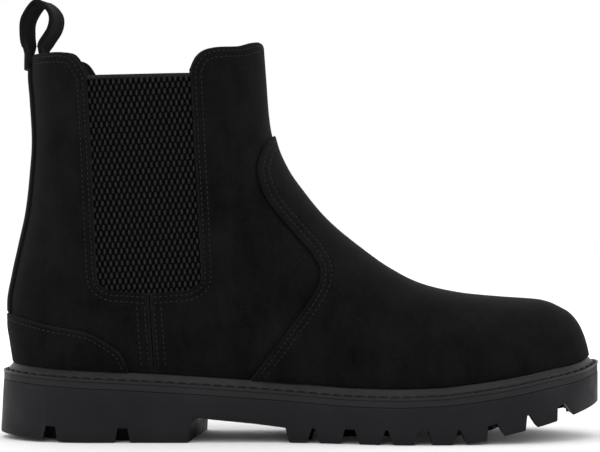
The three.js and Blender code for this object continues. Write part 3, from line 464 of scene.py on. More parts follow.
def gore_patch(rows, columns):
    low = GORE["foot_rear"][1] - GORE_MARGIN
    left = [GORE["top_rear"], (GORE["low_rear"][0] + 1, low)]
    right = [GORE["top_front"], (GORE["low_front"][0] - 1, low)]
    v = np.linspace(0, 1, rows + 1)[:, None, None]
    t = np.linspace(0, 1, columns + 1)[None, :, None]
    a, c = np.array(left, float) - [GORE_MARGIN, 0]
    b, d = np.array(right, float) + [GORE_MARGIN, 0]
    grid = (a * (1 - t) + b * t) * (1 - v) + (c * (1 - t) + d * t) * v
    return grid, np.zeros(rows + 1, bool)


# ---- Mesh helpers ----
def tree_of(points):
    found = KDTree(len(points))
    for i, p in enumerate(points):
        found.insert(p, i)
    found.balance()
    return found


def nearest(points, line):
    """Distance of each point to the nearest of the line's points."""
    found = tree_of(line)
    return np.array([found.find(p)[2] for p in points])


def flat(points):
    return np.column_stack([points, np.zeros(len(points))])


def welded(points, step):
    """Points that lie on each other joined: which ones stay, and each point's new number."""
    cells = np.round(points / step).astype(np.int64)
    _, first, number = np.unique(cells, axis=0, return_index=True, return_inverse=True)
    return first, number.reshape(-1)


def sound(faces):
    """The faces without repeated corners, and without those that fell flat."""
    kept = []
    for face in faces:
        face = [c for i, c in enumerate(face) if c != face[i - 1]]
        if len(set(face)) == len(face) >= 3:
            kept.append(face)
    return kept


def merged(points, faces):
    first, number = welded(points, 0.002)
    return points[first], sound([number[face].tolist() for face in faces])


def band(count, size, closed=False):
    """Faces between the neighbours of a count of rings, each of size points and closed on itself."""
    faces = []
    for i in range(count if closed else count - 1):
        n = (i + 1) % count
        for k in range(size):
            m = (k + 1) % size
            faces.append([i * size + k, n * size + k, n * size + m, i * size + m])
    return faces


def mesh_piece(name, points, faces, material, sharp=40):
    mesh = bpy.data.meshes.new(name)
    mesh.from_pydata(metres(points).tolist(), [], faces)
    mesh.validate()
    mesh.polygons.foreach_set("use_smooth", [True] * len(mesh.polygons))
    mesh.set_sharp_from_angle(angle=math.radians(sharp))
    mesh.materials.append(material)
    piece = bpy.data.objects.new(name, mesh)
    bpy.context.scene.collection.objects.link(piece)
    return piece


# ---- From a patch to a sheet of leather ----
class Skin:
    """The last's surface over a patch, on one side or on both, joined along the ridge."""

    def __init__(self, made, sides):
        grid, ridge = made
        rows, columns = grid.shape[:2]
        x, z = grid[..., 0], grid[..., 1]
        points = []
        for side in sides:
            width = half_width(x, z, side)
            width[ridge, 0] = 0
            if len(sides) == 1:
                width = np.maximum(width, SEAM_GAP / 2)
            y = middle(x) + side * width
            points.append(np.stack([x, y, z], axis=-1).reshape(-1, 3))
        points = np.concatenate(points)
        index = np.arange(rows * columns).reshape(rows, columns)
        quads = np.stack([index[:-1, :-1], index[:-1, 1:], index[1:, 1:], index[1:, :-1]], axis=-1)
        quads = quads.reshape(-1, 4)
        per_side = len(quads)
        quads = np.concatenate([quads + k * rows * columns for k in range(len(sides))])
        first, number = welded(points, 0.004)
        self.at = points[first]
        self.spot = np.tile(grid.reshape(-1, 2), (len(sides), 1))[first]
        quads = number[quads]
        p = self.at[quads]
        normal = np.cross(p[:, 2] - p[:, 0], p[:, 3] - p[:, 1])
        centre = p.mean(axis=1)
        outwards = normal[:, 1] * (centre[:, 1] - middle(centre[:, 0]))
        for k in range(len(sides)):
            own = slice(k * per_side, (k + 1) * per_side)
            if outwards[own].sum() < 0:
                quads[own] = quads[own, ::-1]
                normal[own] *= -1
        self.normal = np.zeros_like(self.at)
        for k in range(4):
            np.add.at(self.normal, quads[:, k], normal)
        self.normal /= np.maximum(np.linalg.norm(self.normal, axis=1, keepdims=True), 1e-12)
        self.faces = sound(quads.tolist())
        edges = {}
        for face in self.faces:
            for i, b in enumerate(face):
                a = face[i - 1]
                if edges.pop((b, a), None) is None:
                    edges[(a, b)] = True
        self.border = list(edges)

    def border_distance(self):
        """Distance of each point to the patch's free edge."""
        return nearest(self.at, self.at[sorted({i for edge in self.border for i in edge})])


def surface_line(line, side):
    """A side-view line laid on the last, with points 0.4 mm apart."""
    line = np.asarray(line, float)
    width = half_width(line[:, 0], line[:, 1], side)
    points = np.stack([line[:, 0], middle(line[:, 0]) + side * width, line[:, 1]], axis=1)
    return along(points, np.linspace(0, 1, max(int(length_of(points) / 0.4), 4)))


def normals_at(points, skin):
    tree = tree_of(skin.at)
    found = []
    for p in points:
        near = tree.find_n(p, 4)
        weights = np.array([1 / (d + 0.05) for _, _, d in near])
        found.append((skin.normal[[i for _, i, _ in near]] * weights[:, None]).sum(axis=0))
    found = np.array(found)
    return found / np.linalg.norm(found, axis=1, keepdims=True)


def shifted(line, by):
    """The line moved sideways in side view, to the left of its direction where by is positive."""
    line = np.asarray(line, float)
    way = np.gradient(line, axis=0)
    way /= np.maximum(np.linalg.norm(way, axis=1, keepdims=True), 1e-9)
    return line + np.stack([-way[:, 1], way[:, 0]], axis=1) * by


def leather(name, skin, outer, thickness, material, rounding=0.5):
    """Closed sheet: outer gives the height of its face over the last, and its edge is rounded."""
    high = outer - rounding * (1 - round_rise(skin.border_distance() / 0.9))
    low = outer - thickness
    count = len(skin.at)
    points = np.concatenate([skin.at + skin.normal * height[:, None] for height in (high, low)])
    faces = list(skin.faces)
    faces += [[i + count for i in reversed(face)] for face in skin.faces]
    faces += [[b, a, a + count, b + count] for a, b in skin.border]
    return mesh_piece(name, points, faces, material)


def dip(skin, lines, depth, width=PULLED_IN):
    """How much rows of stitches pull the leather in."""
    total = np.zeros(len(skin.at))
    for line in lines:
        total = np.maximum(total, depth * np.exp(-((nearest(skin.at, line) / width) ** 2)))
    return total


CAPSULE_RINGS = 5
CAPSULE_SIDES = 6


def capsules(spots, ways, ups, length, radius, flat_by=0.8):
    """One mesh of small rounded stitches, each along its way."""
    points, faces = [], []
    shell = band(CAPSULE_RINGS, CAPSULE_SIDES)
    low_cap = list(range(CAPSULE_SIDES))
    shell += [low_cap, [(CAPSULE_RINGS - 1) * CAPSULE_SIDES + k for k in reversed(low_cap)]]
    for spot, way, up in zip(spots, ways, ups):
        way = way / np.linalg.norm(way)
        side = np.cross(way, up)
        side /= np.linalg.norm(side)
        up = np.cross(side, way)
        faces += [[i + len(points) for i in face] for face in shell]
        for ring in np.linspace(0, np.pi, CAPSULE_RINGS):
            wide = radius * (0.25 + 0.75 * math.sin(ring) ** 0.5)
            sunk = radius * 0.75 * abs(math.cos(ring)) ** 3
            centre = spot - way * (length / 2) * math.cos(ring) - up * sunk
            for k in range(CAPSULE_SIDES):
                turn = 2 * math.pi * k / CAPSULE_SIDES
                points.append(centre + side * wide * math.cos(turn) + up * wide * flat_by * math.sin(turn))
    return points, faces


def stitched(lines, skin, height):
    """Stitches along lines of points that lie on a skin, at a height over it."""
    spots, ways, ups = [], [], []
    for line in lines:
        count = max(int(length_of(line) / STITCH_PITCH), 1)
        at = along(line, (np.arange(count) + 0.5) / count)
        up = normals_at(at, skin)
        spots += list(at + up * height)
        ways += list(along(line, (np.arange(count) + 0.6) / count) - at)
        ups += list(up)
    return capsules(spots, ways, ups, STITCH_LENGTH, STITCH_RADIUS)


# ---- Materials: node trees, all in object space ----
class Shader:
    def __init__(self, name):
        self.material = bpy.data.materials.new(name)
        self.material.use_nodes = True
        self.tree = self.material.node_tree
        self.base = self.tree.nodes["Principled BSDF"]
        self.coords = self.add("ShaderNodeTexCoord").outputs["Object"]

    def add(self, kind, **sockets):
        node = self.tree.nodes.new(kind)
        for key, value in sockets.items():
            self.put(node, key, value)
        return node

    def put(self, node, key, value):
        socket = node.inputs[key]
        if isinstance(value, bpy.types.NodeSocket):
            self.tree.links.new(value, socket)
        else:
            socket.default_value = value

    def set(self, **sockets):
        for key, value in sockets.items():
            self.put(self.base, key.replace("_", " "), value)

    def noise(self, scale, detail=3, rough=0.5, stretch=None):
        vector = self.coords
        if stretch:
            turn = self.add("ShaderNodeMapping", Vector=vector, Scale=stretch)
            vector = turn.outputs["Vector"]
        node = self.add("ShaderNodeTexNoise", Vector=vector, Scale=scale, Detail=detail, Roughness=rough)
        return node.outputs["Fac"]

    def ramp(self, value, low, high, start=0.0, end=1.0):
        node = self.add("ShaderNodeMapRange", Value=value)
        for key, number in (("From Min", start), ("From Max", end), ("To Min", low), ("To Max", high)):
            node.inputs[key].default_value = number
        node.clamp = True
        return node.outputs["Result"]

    def cloud(self, scale, detail=4, rough=0.6, low=0.3, stretch=None):
        """Noise with its contrast raised."""
        return self.ramp(self.noise(scale, detail, rough, stretch), 0, 1, low, 1 - low)

    def math(self, kind, a, b):
        node = self.add("ShaderNodeMath")
        node.operation = kind
        self.put(node, 0, a)
        self.put(node, 1, b)
        return node.outputs[0]

    def blend(self, share, a, b):
        node = self.add("ShaderNodeMix")
        node.data_type = "RGBA"
        for key, value in ((0, share), (6, a), (7, b)):
            self.put(node, key, (*value, 1) if isinstance(value, tuple) else value)
        return node.outputs[2]

    def total(self, *parts):
        """Sum of sockets, each times its share."""
        scaled = [self.math("MULTIPLY", value, share) for value, share in parts]
        whole = scaled[0]
        for more in scaled[1:]:
            whole = self.math("ADD", whole, more)
        return whole

    def worn(self, low, high):
        """1 on edges that stand out, 0 elsewhere."""
        point = self.add("ShaderNodeNewGeometry").outputs["Pointiness"]
        return self.ramp(point, 0, 1, low, high)

    def bump(self, *layers):
        normal = None
        for height, strength, distance in layers:
            node = self.add("ShaderNodeBump", Height=height, Strength=strength, Distance=distance)
            if normal is not None:
                self.tree.links.new(normal, node.inputs["Normal"])
            normal = node.outputs["Normal"]
        self.tree.links.new(normal, self.base.inputs["Normal"])


def nubuck(name, dark, light):
    s = Shader(name)
    brushed = s.cloud(160, 3, low=0.32, stretch=(1, 1, 0.35))
    grain = s.ramp(s.noise(1500, 3, 0.7), -0.2, 0.4, 0.3, 0.7)
    colour = s.blend(s.total((s.cloud(38), 0.5), (brushed, 0.35), (grain, 1.0)), dark, light)
    colour = s.blend(s.math("MULTIPLY", s.worn(0.52, 0.66), 0.5), colour, (0.016, 0.016, 0.0165))
    s.set(Base_Color=colour, Roughness=s.ramp(brushed, 0.82, 0.96), Sheen_Weight=0.03, Sheen_Roughness=0.45)
    s.set(Sheen_Tint=(0.75, 0.77, 0.82, 1), Specular_IOR_Level=0.03)
    nap, pores = s.noise(2600, 2, 0.6), s.noise(420, 3, 0.55)
    s.bump((nap, 0.3, 0.0003), (pores, 0.16, 0.0006), (brushed, 0.05, 0.0012))
    return s.material


def rubber(name, dark, light, rough=0.5, gloss=0.11, wear=(0.04, 0.04, 0.043)):
    s = Shader(name)
    colour = s.blend(s.cloud(30), dark, light)
    colour = s.blend(s.math("MULTIPLY", s.worn(0.53, 0.68), 0.45), colour, wear)
    s.set(Base_Color=colour, Roughness=s.ramp(s.noise(90, 3, 0.6), rough - 0.08, rough + 0.12, 0.3, 0.7))
    s.set(Specular_IOR_Level=gloss)
    s.bump((s.noise(900, 2, 0.6), 0.12, 0.0003), (s.noise(140, 3, 0.5), 0.05, 0.001))
    return s.material


def thread_like(name, dark, light, rough=0.6):
    s = Shader(name)
    twist = s.add("ShaderNodeTexWave", Vector=s.coords, Scale=620.0, Distortion=1.5, Detail=1.0)
    twist.bands_direction = "DIAGONAL"
    s.set(Base_Color=s.blend(twist.outputs["Fac"], dark, light), Roughness=rough)
    s.set(Specular_IOR_Level=0.12)
    s.bump((twist.outputs["Fac"], 0.5, 0.0002))
    return s.material


def textile(name, dark, light, pitch=760.0):
    s = Shader(name)
    yarns = []
    for way in "XZ":
        wave = s.add("ShaderNodeTexWave", Vector=s.coords, Scale=pitch, Distortion=0.6, Detail=1.0)
        wave.bands_direction = way
        yarns.append(wave.outputs["Fac"])
    weave = s.math("MULTIPLY", *yarns)
    tone = s.total((weave, 0.7), (s.cloud(50, 3), 0.3))
    s.set(Base_Color=s.blend(tone, dark, light), Roughness=0.95, Specular_IOR_Level=0.08)
    s.bump((weave, 0.5, 0.0003), (s.noise(1800, 2, 0.6), 0.2, 0.0002))
    return s.material


def elastic(name):
    s = Shader(name)
    rib = s.add("ShaderNodeAttribute")
    rib.attribute_name = "rib"
    fibre = s.cloud(2400, 2, 0.7, 0.25, (1, 1, 0.25))
    light = s.blend(fibre, (0.009, 0.009, 0.0102), (0.026, 0.026, 0.0285))
    # painted shade: where the rib value is low, in the valleys between the raised ribs, the elastic is
    # painted near black
    colour = s.blend(rib.outputs["Fac"], (0.0005, 0.0005, 0.0007), light)
    s.set(Base_Color=colour, Roughness=0.8, Specular_IOR_Level=0.03)
    s.bump((fibre, 0.35, 0.0003))
    return s.material


def fibre_board(name, dark, light, grain=420):
    s = Shader(name)
    flake = s.add("ShaderNodeTexVoronoi", Vector=s.coords, Scale=grain)
    tone = s.math("MULTIPLY", flake.outputs["Distance"], 1.4)
    s.set(Base_Color=s.blend(tone, dark, light), Roughness=0.9)
    s.bump((flake.outputs["Distance"], 0.3, 0.0004))
    return s.material


def rolled_steel(name):
    s = Shader(name)
    lines = s.noise(900, 2, 0.6, (0.05, 1, 1))
    s.set(Base_Color=s.blend(lines, (0.35, 0.36, 0.37), (0.6, 0.61, 0.62)), Metallic=1.0)
    s.set(Roughness=s.ramp(lines, 0.28, 0.45))
    s.bump((lines, 0.1, 0.0002))
    return s.material


NUBUCK = nubuck("nubuck", (0.0011, 0.0011, 0.0012), (0.0066, 0.0066, 0.0067))
SOLE = rubber("sole_rubber", (0.0052, 0.0052, 0.0068), (0.0085, 0.0085, 0.0104))
RAND = rubber("rand_rubber", (0.0075, 0.0075, 0.009), (0.0115, 0.0115, 0.013))
WELT = rubber(
    "welt_rubber", (0.0055, 0.0055, 0.0055), (0.0098, 0.0097, 0.0096), 0.36, 0.17, (0.032, 0.032, 0.032)
)
SEWN = thread_like("sewing_thread", (0.003, 0.003, 0.0033), (0.0125, 0.0125, 0.0135))
WELT_SEWN = thread_like("welt_thread_wax", (0.001, 0.001, 0.0011), (0.0045, 0.0045, 0.0048), 0.5)
ELASTIC = elastic("gore_elastic")
LINED = textile("lining_knit", (0.004, 0.004, 0.0043), (0.013, 0.013, 0.0135))
FOOTBED = textile("footbed_cover", (0.006, 0.006, 0.0063), (0.019, 0.019, 0.0197), 620.0)
BOARD = fibre_board("fibre_board", (0.28, 0.22, 0.15), (0.45, 0.37, 0.26))
CORK = fibre_board("granulated_cork", (0.2, 0.11, 0.05), (0.5, 0.33, 0.18), 260)
STIFF = fibre_board("stiffener_sheet", (0.5, 0.46, 0.38), (0.62, 0.58, 0.5), 900)
STEEL = rolled_steel("rolled_steel")


# ---- Where the pieces ride ----
def pivot(joint):
    return Vector(next(j for j in frame["joints"] if j["name"] == joint)["pos_m"])


def gore_edge(corner):
    return (metres([GORE[corner][0], 0, 0])[0], 0, 0)


HINGE, LOOP_HINGE = pivot("collar_open"), pivot("pull_loop_tilt")
SHAFT_BEND = ("root", "rear_shaft", (HINGE.x, 0, HINGE.z - 0.014), (HINGE.x, 0, HINGE.z + 0.024))
GORE_STRETCH = ("root", "rear_shaft", gore_edge("low_front"), gore_edge("low_rear"))
LOOP_BEND = (
    "rear_shaft", "loop", (LOOP_HINGE.x, 0, LOOP_HINGE.z - 0.003), (LOOP_HINGE.x, 0, LOOP_HINGE.z + 0.010)
)
SIDES = {-1: "lateral", 1: "medial"}


def carry(piece, slot, *nodes, bend=None):
    """The piece stands for CAD nodes, which are hidden; with a bend given it is baked into world space,
    else it rides on the foot. slot is not used.
    """
    if bend:
        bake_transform(piece)
    else:
        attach(piece, "root")
    if nodes:
        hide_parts(*nodes)


def panel(name, node, skin, rows, height, sewn_at, thickness=LEATHER, rounding=0.5, bend=None):
    """A piece of leather and its stitches; the name has a gap for which of the two it is."""
    sheet = leather(name.format("leather"), skin, height, thickness, NUBUCK, rounding)
    carry(sheet, "nubuck", node, bend=bend)
    sewn = mesh_piece(name.format("stitches"), *stitched(rows, skin, sewn_at), SEWN, 60)
    carry(sewn, "thread", bend=bend)


# ---- Stitch lines of the upper, in side view ----
def on_last(line, side):
    line = along(line, np.linspace(0, 1, 400))
    inside = (line[:, 0] < front(line[:, 1]) - 0.15) & (line[:, 0] > back(line[:, 1]) + 0.15)
    inside &= line[:, 1] > feather(line[:, 0]) + 1
    return surface_line(line[inside], side)


def vamp_rows():
    rows = []
    for inset in VAMP_INSETS:
        line = shifted(vamp_edge, inset)
        z = VAMP_TOP[1] - inset
        line = np.concatenate([[[front(z), z]], line[line[:, 1] < z - 1.0]])
        rows += [on_last(spline(line[::6]), side) for side in SIDES]
    return rows


def quarter_rows(side, way, profile, collar, gore_line, corner, foot, steps):
    """Double rows along the collar and the gore, then down the side seam; way is 1 in front of it."""
    rows = []
    foot_line = along([foot, SEAM_TOP], np.linspace(0.05, 1, 24))
    round_gore = np.concatenate([collar, gore_line[1:], corner[1:], foot_line])
    for inset in QUARTER_INSETS:
        line = shifted(round_gore, way * inset)
        x, z = line.T
        line = line[(way * (profile(z) - x) > 0.5) & (way * (x - SEAM_TOP[0]) > 1.5)]
        away = np.array([np.hypot(*(round_gore - p).T).min() for p in line])
        rows.append(on_last(line[away > inset - 0.25], side))
    for step in steps:
        rows.append(on_last([[SEAM_TOP[0] + step, SEAM_TOP[1] - 6.2], [SEAM_FOOT + step, 37]], side))
    return rows


FRONT_EDGES = (1, front, front_collar, gore_front, gore_front_corner, GORE["foot_front"], (2.4, 5.8))
REAR_EDGES = (-1, back, back_collar, gore_rear, gore_rear_corner, GORE["foot_rear"], (-2.4, -6.2))


# ---- Upper ----
def soft_waves(points, height):
    """Gentle unevenness of lasted leather, from a few fixed waves."""
    total = np.zeros(len(points))
    for _ in range(9):
        way = RNG.normal(size=3)
        way *= RNG.uniform(0.06, 0.17) / np.linalg.norm(way)
        total += np.sin(points @ way + RNG.uniform(0, 6.28))
    return total * height / 3


def make_vamp():
    skin = Skin(vamp_patch(7, 92), (-1, 1))
    rows = vamp_rows()
    lapped = LEATHER + 0.35  # on the quarter near the edge, sinking to its level further in
    away = nearest(flat(skin.spot), flat(vamp_edge[::2]))
    height = lapped * (1 - smooth(UNDERLAP + 6, UNDERLAP + 26, away)) - dip(skin, rows, 0.35)
    height += soft_waves(skin.at, 0.14)
    panel("vamp_{}", "vamp", skin, rows, height, lapped - 0.18)


def make_front_quarter():
    skin = Skin(front_patch(8, 84), (-1, 1))
    rows = [row for side in SIDES for row in quarter_rows(side, *FRONT_EDGES)]
    edges = [surface_line(vamp_edge[3:-3], side) for side in SIDES]
    under_vamp = nearest(skin.at, np.concatenate(edges))
    height = -dip(skin, rows, 0.32) - 0.35 * np.exp(-((under_vamp / 1.6) ** 2))
    height += soft_waves(skin.at, 0.12)
    panel("front_quarter_{}", "front_quarter", skin, rows, height, -0.16)


def make_back_quarters():
    for side, name in SIDES.items():
        skin = Skin(rear_patch(9, 96), (side,))
        rows = quarter_rows(side, *REAR_EDGES)
        height = -dip(skin, rows, 0.32) + soft_waves(skin.at, 0.1)
        names = f"back_quarter_{{}}_{name}", f"back_quarter_{name}"
        panel(*names, skin, rows, height, -0.16, bend=SHAFT_BEND)


def make_counter_cover():
    skin = Skin(heel_patch(cover_edge, 44, 120), (-1, 1))
    row = shifted(cover_edge, -COVER_INSET)
    row = row[row[:, 0] > back(row[:, 1]) + 0.5]
    start = cover_edge[0][1] - COVER_INSET
    row = np.concatenate([[[back(start), start]], row])
    rows = [on_last(spline(row[::5]), side) for side in SIDES]
    height = LEATHER + 0.3 - dip(skin, rows, 0.35) + soft_waves(skin.at, 0.1)
    panel("heel_counter_{}", "heel_counter_cover", skin, rows, height, LEATHER + 0.12, LEATHER + 0.2, 0.6)


STRIP_TOP, STRIP_FOOT = 187, 63.2


def back_spot(z, y):
    share = np.minimum(y / shaft_width(z), 1)
    return back(z) + HEEL_ROUND * (1 - np.sqrt(1 - share * share))


def make_back_strip():
    z = np.linspace(STRIP_TOP, STRIP_FOOT, 150)[:, None] * np.ones((1, 15))
    y = np.linspace(0, STRAP_WIDTH / 2, 15)[None] * np.ones((150, 1))
    skin = Skin((np.stack([back_spot(z, y), z], axis=-1), np.ones(150, bool)), (-1, 1))
    high = np.linspace(STRIP_TOP - 1, STRIP_FOOT + 1.3, 200)
    spot = back_spot(high, np.full(200, STRAP_WIDTH / 2 - STRAP_INSET))
    rows = [surface_line(np.stack([spot, high], axis=1), side) for side in SIDES]
    height = LEATHER + 0.1 - dip(skin, rows, 0.3, 0.7)
    panel("back_strip_{}", "back_strip", skin, rows, height, LEATHER - 0.1, LEATHER + 0.1, bend=SHAFT_BEND)


RIB_PITCH = 2.8
RIB_LENGTH = 6.0


def make_gores():
    for side, name in SIDES.items():
        skin = Skin(gore_patch(215, 178), (side,))
        x, z = skin.spot.T
        sideways = x + 0.045 * (z - GORE["low_rear"][1])
        tilted = z - 0.05 * x
        wave = np.cos(2 * np.pi * sideways / RIB_PITCH) * np.cos(2 * np.pi * tilted / RIB_LENGTH)
        (rear_x, rear_z), (front_x, front_z) = GORE["top_rear"], GORE["top_front"]
        fold = smooth(2.6, 1.2, np.interp(x, [rear_x, front_x], [rear_z, front_z]) - z)
        rib = np.maximum(smooth(-0.1, 0.55, wave), 0.75 * fold)
        piece = leather(f"gore_{name}", skin, 0.75 * rib - LEATHER - 0.1, PLY + 0.4, ELASTIC, 0.3)
        # the rib value also colours the elastic: painted shade in the valleys between the ribs
        values = np.concatenate([rib, np.full(len(rib), 0.5)])
        attribute = piece.data.attributes.new("rib", "FLOAT", "POINT")
        attribute.data.foreach_set("value", values[: len(piece.data.vertices)].astype(np.float32))
        carry(piece, "elastic", f"elastic_gore_{name}", bend=GORE_STRETCH)


def lining_depth(spot):
    """How deep the lining lies: against the leather at the two ends of the collar, else under the ply."""
    x, z = spot.T
    front_end = smooth(-42, -32, x) * smooth(120, 150, z)
    back_end = (1 - smooth(-126, -117, x)) * smooth(100, 125, z)
    return LEATHER + 0.35 + (PLY + LAYER_GAP) * (1 - np.maximum(front_end, back_end))


def make_linings():
    for name, made, node, bend in (
        ("vamp_lining_knit", vamp_patch(4, 50), "vamp_lining", None),
        ("front_lining_knit", front_patch(5, 56, inside=True), "front_shaft_lining", None),
        ("rear_lining_knit", rear_patch(6, 60), "rear_lining", SHAFT_BEND),
    ):
        skin = Skin(made, (-1, 1))
        piece = leather(name, skin, -lining_depth(skin.spot), LINING, LINED, 0.3)
        carry(piece, "lining", node, bend=bend)


# ---- Plan outline of the sole ----
def section_ends(rise):
    heel, toe = heel_foot, TOE_TIP
    for _ in range(30):
        heel = float(back(feather(heel) + rise))
        toe = mix(toe, float(front(feather(toe) + rise)), 0.5)
    return heel, toe


def loop_normals(loop):
    way = np.roll(loop, -1, axis=0) - np.roll(loop, 1, axis=0)
    normal = np.stack([way[:, 1], -way[:, 0]], axis=1)
    return normal / np.linalg.norm(normal, axis=1, keepdims=True)


def outline(rise, moved, count=420):
    """Loop round the foot: lateral side from heel to toe, then the medial side back."""
    heel, toe = section_ends(rise)
    x = mix(heel, toe, both_ends(np.linspace(0, 1, count + 1)))
    lateral, medial = [
        np.stack([x, middle(x) + side * half_width(x, feather(x) + rise, side)], axis=1) for side in SIDES
    ]
    for half in (lateral, medial):
        half[[0, -1], 1] = middle(x[[0, -1]])
    closed = np.concatenate([lateral, medial[-2::-1]])
    loop = along(closed, np.linspace(0, 1, 2 * count + 1))[:-1]
    by = moved(loop[:, 0]) if callable(moved) else moved
    return loop + loop_normals(loop) * np.reshape(by, (-1, 1))


def welt_show(x):
    return mix(WELT_SHOW, WELT_SHOW_TOE, smooth(95, 145, x))


SOLE_LOOP = outline(0, welt_show)


def halves(loop):
    """Lateral and medial halves of a loop, both from heel to toe."""
    heel, toe = int(np.argmin(loop[:, 0])), int(np.argmax(loop[:, 0]))
    turned = np.roll(loop, -heel, axis=0)
    toe = (toe - heel) % len(loop)
    return turned[: toe + 1], np.concatenate([turned[toe:], turned[:1]])[::-1]


def sweep(loop, section, height_of):
    """Closed band round a loop: section is a ring of (out, up) points."""
    section = np.array(section, float)
    plan = loop[:, None] + loop_normals(loop)[:, None] * section[None, :, :1]
    z = height_of(plan[..., 0]) + section[None, :, 1]
    points = np.concatenate([plan, z[..., None]], axis=2).reshape(-1, 3)
    return points, band(len(loop), len(section), closed=True)


def plate(upper, lower, top_z, bottom_z, edge, steps):
    """Plate between two loops with a rounded rim, bent to heights that depend on x."""
    pairs = [halves(loop) for loop in (upper, lower)]
    count = min(len(half) for pair in pairs for half in pair)
    share = np.linspace(0, 1, count)
    high, low = [[along(half, share) for half in pair] for pair in pairs]
    rings = []
    for a, b, c, d in zip(*high, *low):
        inset = min(edge / max(np.linalg.norm(b - a), 1e-6), 0.5)
        over = [mix(a, b, t) for t in np.linspace(inset, 1 - inset, steps)]
        under = [mix(c, d, t) for t in np.linspace(1 - inset, inset, steps)]
        rings.append([
            *[[*p, top_z(p[0])] for p in over], [*b, top_z(b[0]) - edge], [*d, bottom_z(d[0]) + edge],
            *[[*p, bottom_z(p[0])] for p in under], [*c, bottom_z(c[0]) + edge], [*a, top_z(a[0]) - edge],
        ])
    return merged(np.array(rings, float).reshape(-1, 3), band(count, len(rings[0])))


# ---- Sole ----
def midsole_top(x):
    return feather(x) - WELT_THICKNESS - BOTTOM_GAP


def midsole_under(x):
    return midsole_top(x) - MIDSOLE_THICKNESS


def outsole_top(x):
    return midsole_under(x) - BOTTOM_GAP


tread = through([
    [-160, 3.1], [-150, 2.6], [-141, 1.9], [-131, 1.2], [-120, 0.5], [-108, 0],
    [60, 0], [75, 0], [90, 1.5], [103, 4.6], [126, 10], [141, 14.2], [153, 18],
])

HEEL_SLOTS = (-124.2, -87.9)
SLOT_PITCH, FIRST_SLOT, FORE_SLOTS, STAGGER = 17.9, 6.4, 8, 0.5
HEEL_SLOT, WIDE_SLOT, NARROW_SLOT = (4.9, 7.7), (4.8, 9.2), (1.4, 6.4)  # roof and mouth widths
HEEL_SLOT_REACH = 11  # how far in from the edge the heel's slots end
HEEL_HOLLOW = (-139, -66)
FORE_HOLLOW = (7, 139)
ARCH_TURN = 0.09
ARCH = np.array([
    [HEEL_BREAST, 0], [HEEL_BREAST + 0.01, 6], [HEEL_BREAST + 0.6, 9], [HEEL_BREAST + 1.8, 10.9],
    [HEEL_BREAST + 3.6, 11.8], [HEEL_BREAST + 6, 12], [-40, 11.2], [-30, 10.2], [-20, 9.2], [-10, 7.9],
    [TREAD_START - 2.2, 7.2], [TREAD_START - 0.3, 0],
])


def flank(foot, roof, high, way):
    """One side of a slot, from the tread up to its roof, rounded at the ground and in the corner."""
    return [
        (foot - way * 0.7, 0), (foot - way * 0.12, 0),
        (mix(foot, roof, 0.05) + way * 0.06, 0.07 * high), (mix(foot, roof, 0.9), 0.86 * high),
        (mix(foot, roof, 0.985), 0.965 * high), (roof + way * 0.28, high),
    ]


def slot_profiles(side):
    """For one side, each slot of the tread as rising x and the lift of the underside there."""
    places = [(x, HEEL_SLOT) for x in HEEL_SLOTS]
    first = FIRST_SLOT + (STAGGER * SLOT_PITCH if side > 0 else 0)
    places += [(first + SLOT_PITCH * i, WIDE_SLOT if i % 2 else NARROW_SLOT) for i in range(FORE_SLOTS)]
    found = []
    for x, (roof, mouth) in places:
        slope = math.atan(float(tread(x + 1) - tread(x - 1)) / 2)
        corners = []
        for u, w in ((-mouth / 2, 0), (-roof / 2, LUG_DEPTH), (roof / 2, LUG_DEPTH), (mouth / 2, 0)):
            at = x + u * math.cos(slope) - w * math.sin(slope)
            z = float(tread(x)) + u * math.sin(slope) + w * math.cos(slope)
            corners.append((at, max(z - float(tread(at)), 0) if w else 0.0))
        (a, _), (b, rear_high), (c, front_high), (d, _) = corners
        found += flank(a, b, rear_high, 1) + flank(d, c, front_high, -1)[::-1]
    return np.array(found)


def sole_rows():
    """Pairs of places along the two sides, close together where the tread steps."""
    sides = halves(SOLE_LOOP)
    lengths = [run_of(side) for side in sides]
    slots = [slot_profiles(side) for side in SIDES]
    spots = [*slots[0][:, 0], *slots[1][:, 0]]
    for low, high in ((HEEL_BREAST - 5, HEEL_BREAST + 9), (TREAD_START - 6, TREAD_START + 5)):
        spots += list(np.arange(low, high, 0.35))
    pairs = [[np.interp(x, side[:, 0], run) for side, run in zip(sides, lengths)] for x in sorted(spots)]
    pairs = np.array([[0, 0], *pairs, [lengths[0][-1], lengths[1][-1]]])
    rows = [pairs[:1]]
    for first, second in zip(pairs, pairs[1:]):
        count = max(int(math.ceil((second[0] - first[0]) / 1.3)), 1)
        rows.append(mix(first, second, (np.arange(count) + 1)[:, None] / count))
    return sides, lengths, np.concatenate(rows), slots


def arch_height(x, y):
    """The open waist, turned a little so that its two ends run obliquely across the sole."""
    turned = (x - HEEL_BREAST) * math.cos(ARCH_TURN) - y * math.sin(ARCH_TURN) + HEEL_BREAST
    return np.interp(turned, ARCH[:, 0], ARCH[:, 1], left=0, right=0)


def within(x, low, high):
    return smooth(low - 0.6, low, x) * smooth(high + 0.6, high, x)


def under_height(x, y, inset, lift):
    """Height of the underside at a place that lies this far in from the sole's edge."""
    reach = LUG_RING + 1 + 40 * smooth(122, 126, x)  # the last slots run to the middle
    reach = mix(HEEL_SLOT_REACH, reach, smooth(-60, -50, x))
    ring = lift * (1 - smooth(reach, reach + 1, inset))
    inner = smooth(LUG_RING - 0.5, LUG_RING + 0.5, inset) * (LUG_DEPTH - 0.5)
    hollow = inner * (within(x, *HEEL_HOLLOW) + within(x, *FORE_HOLLOW))
    return tread(x) + np.maximum(np.maximum(ring, hollow), arch_height(x, y))


UNDER_INSETS = (0.55, 1.5, 4, 8, 12, 14.4, 15.0, 15.6, 16.2, 17.2)


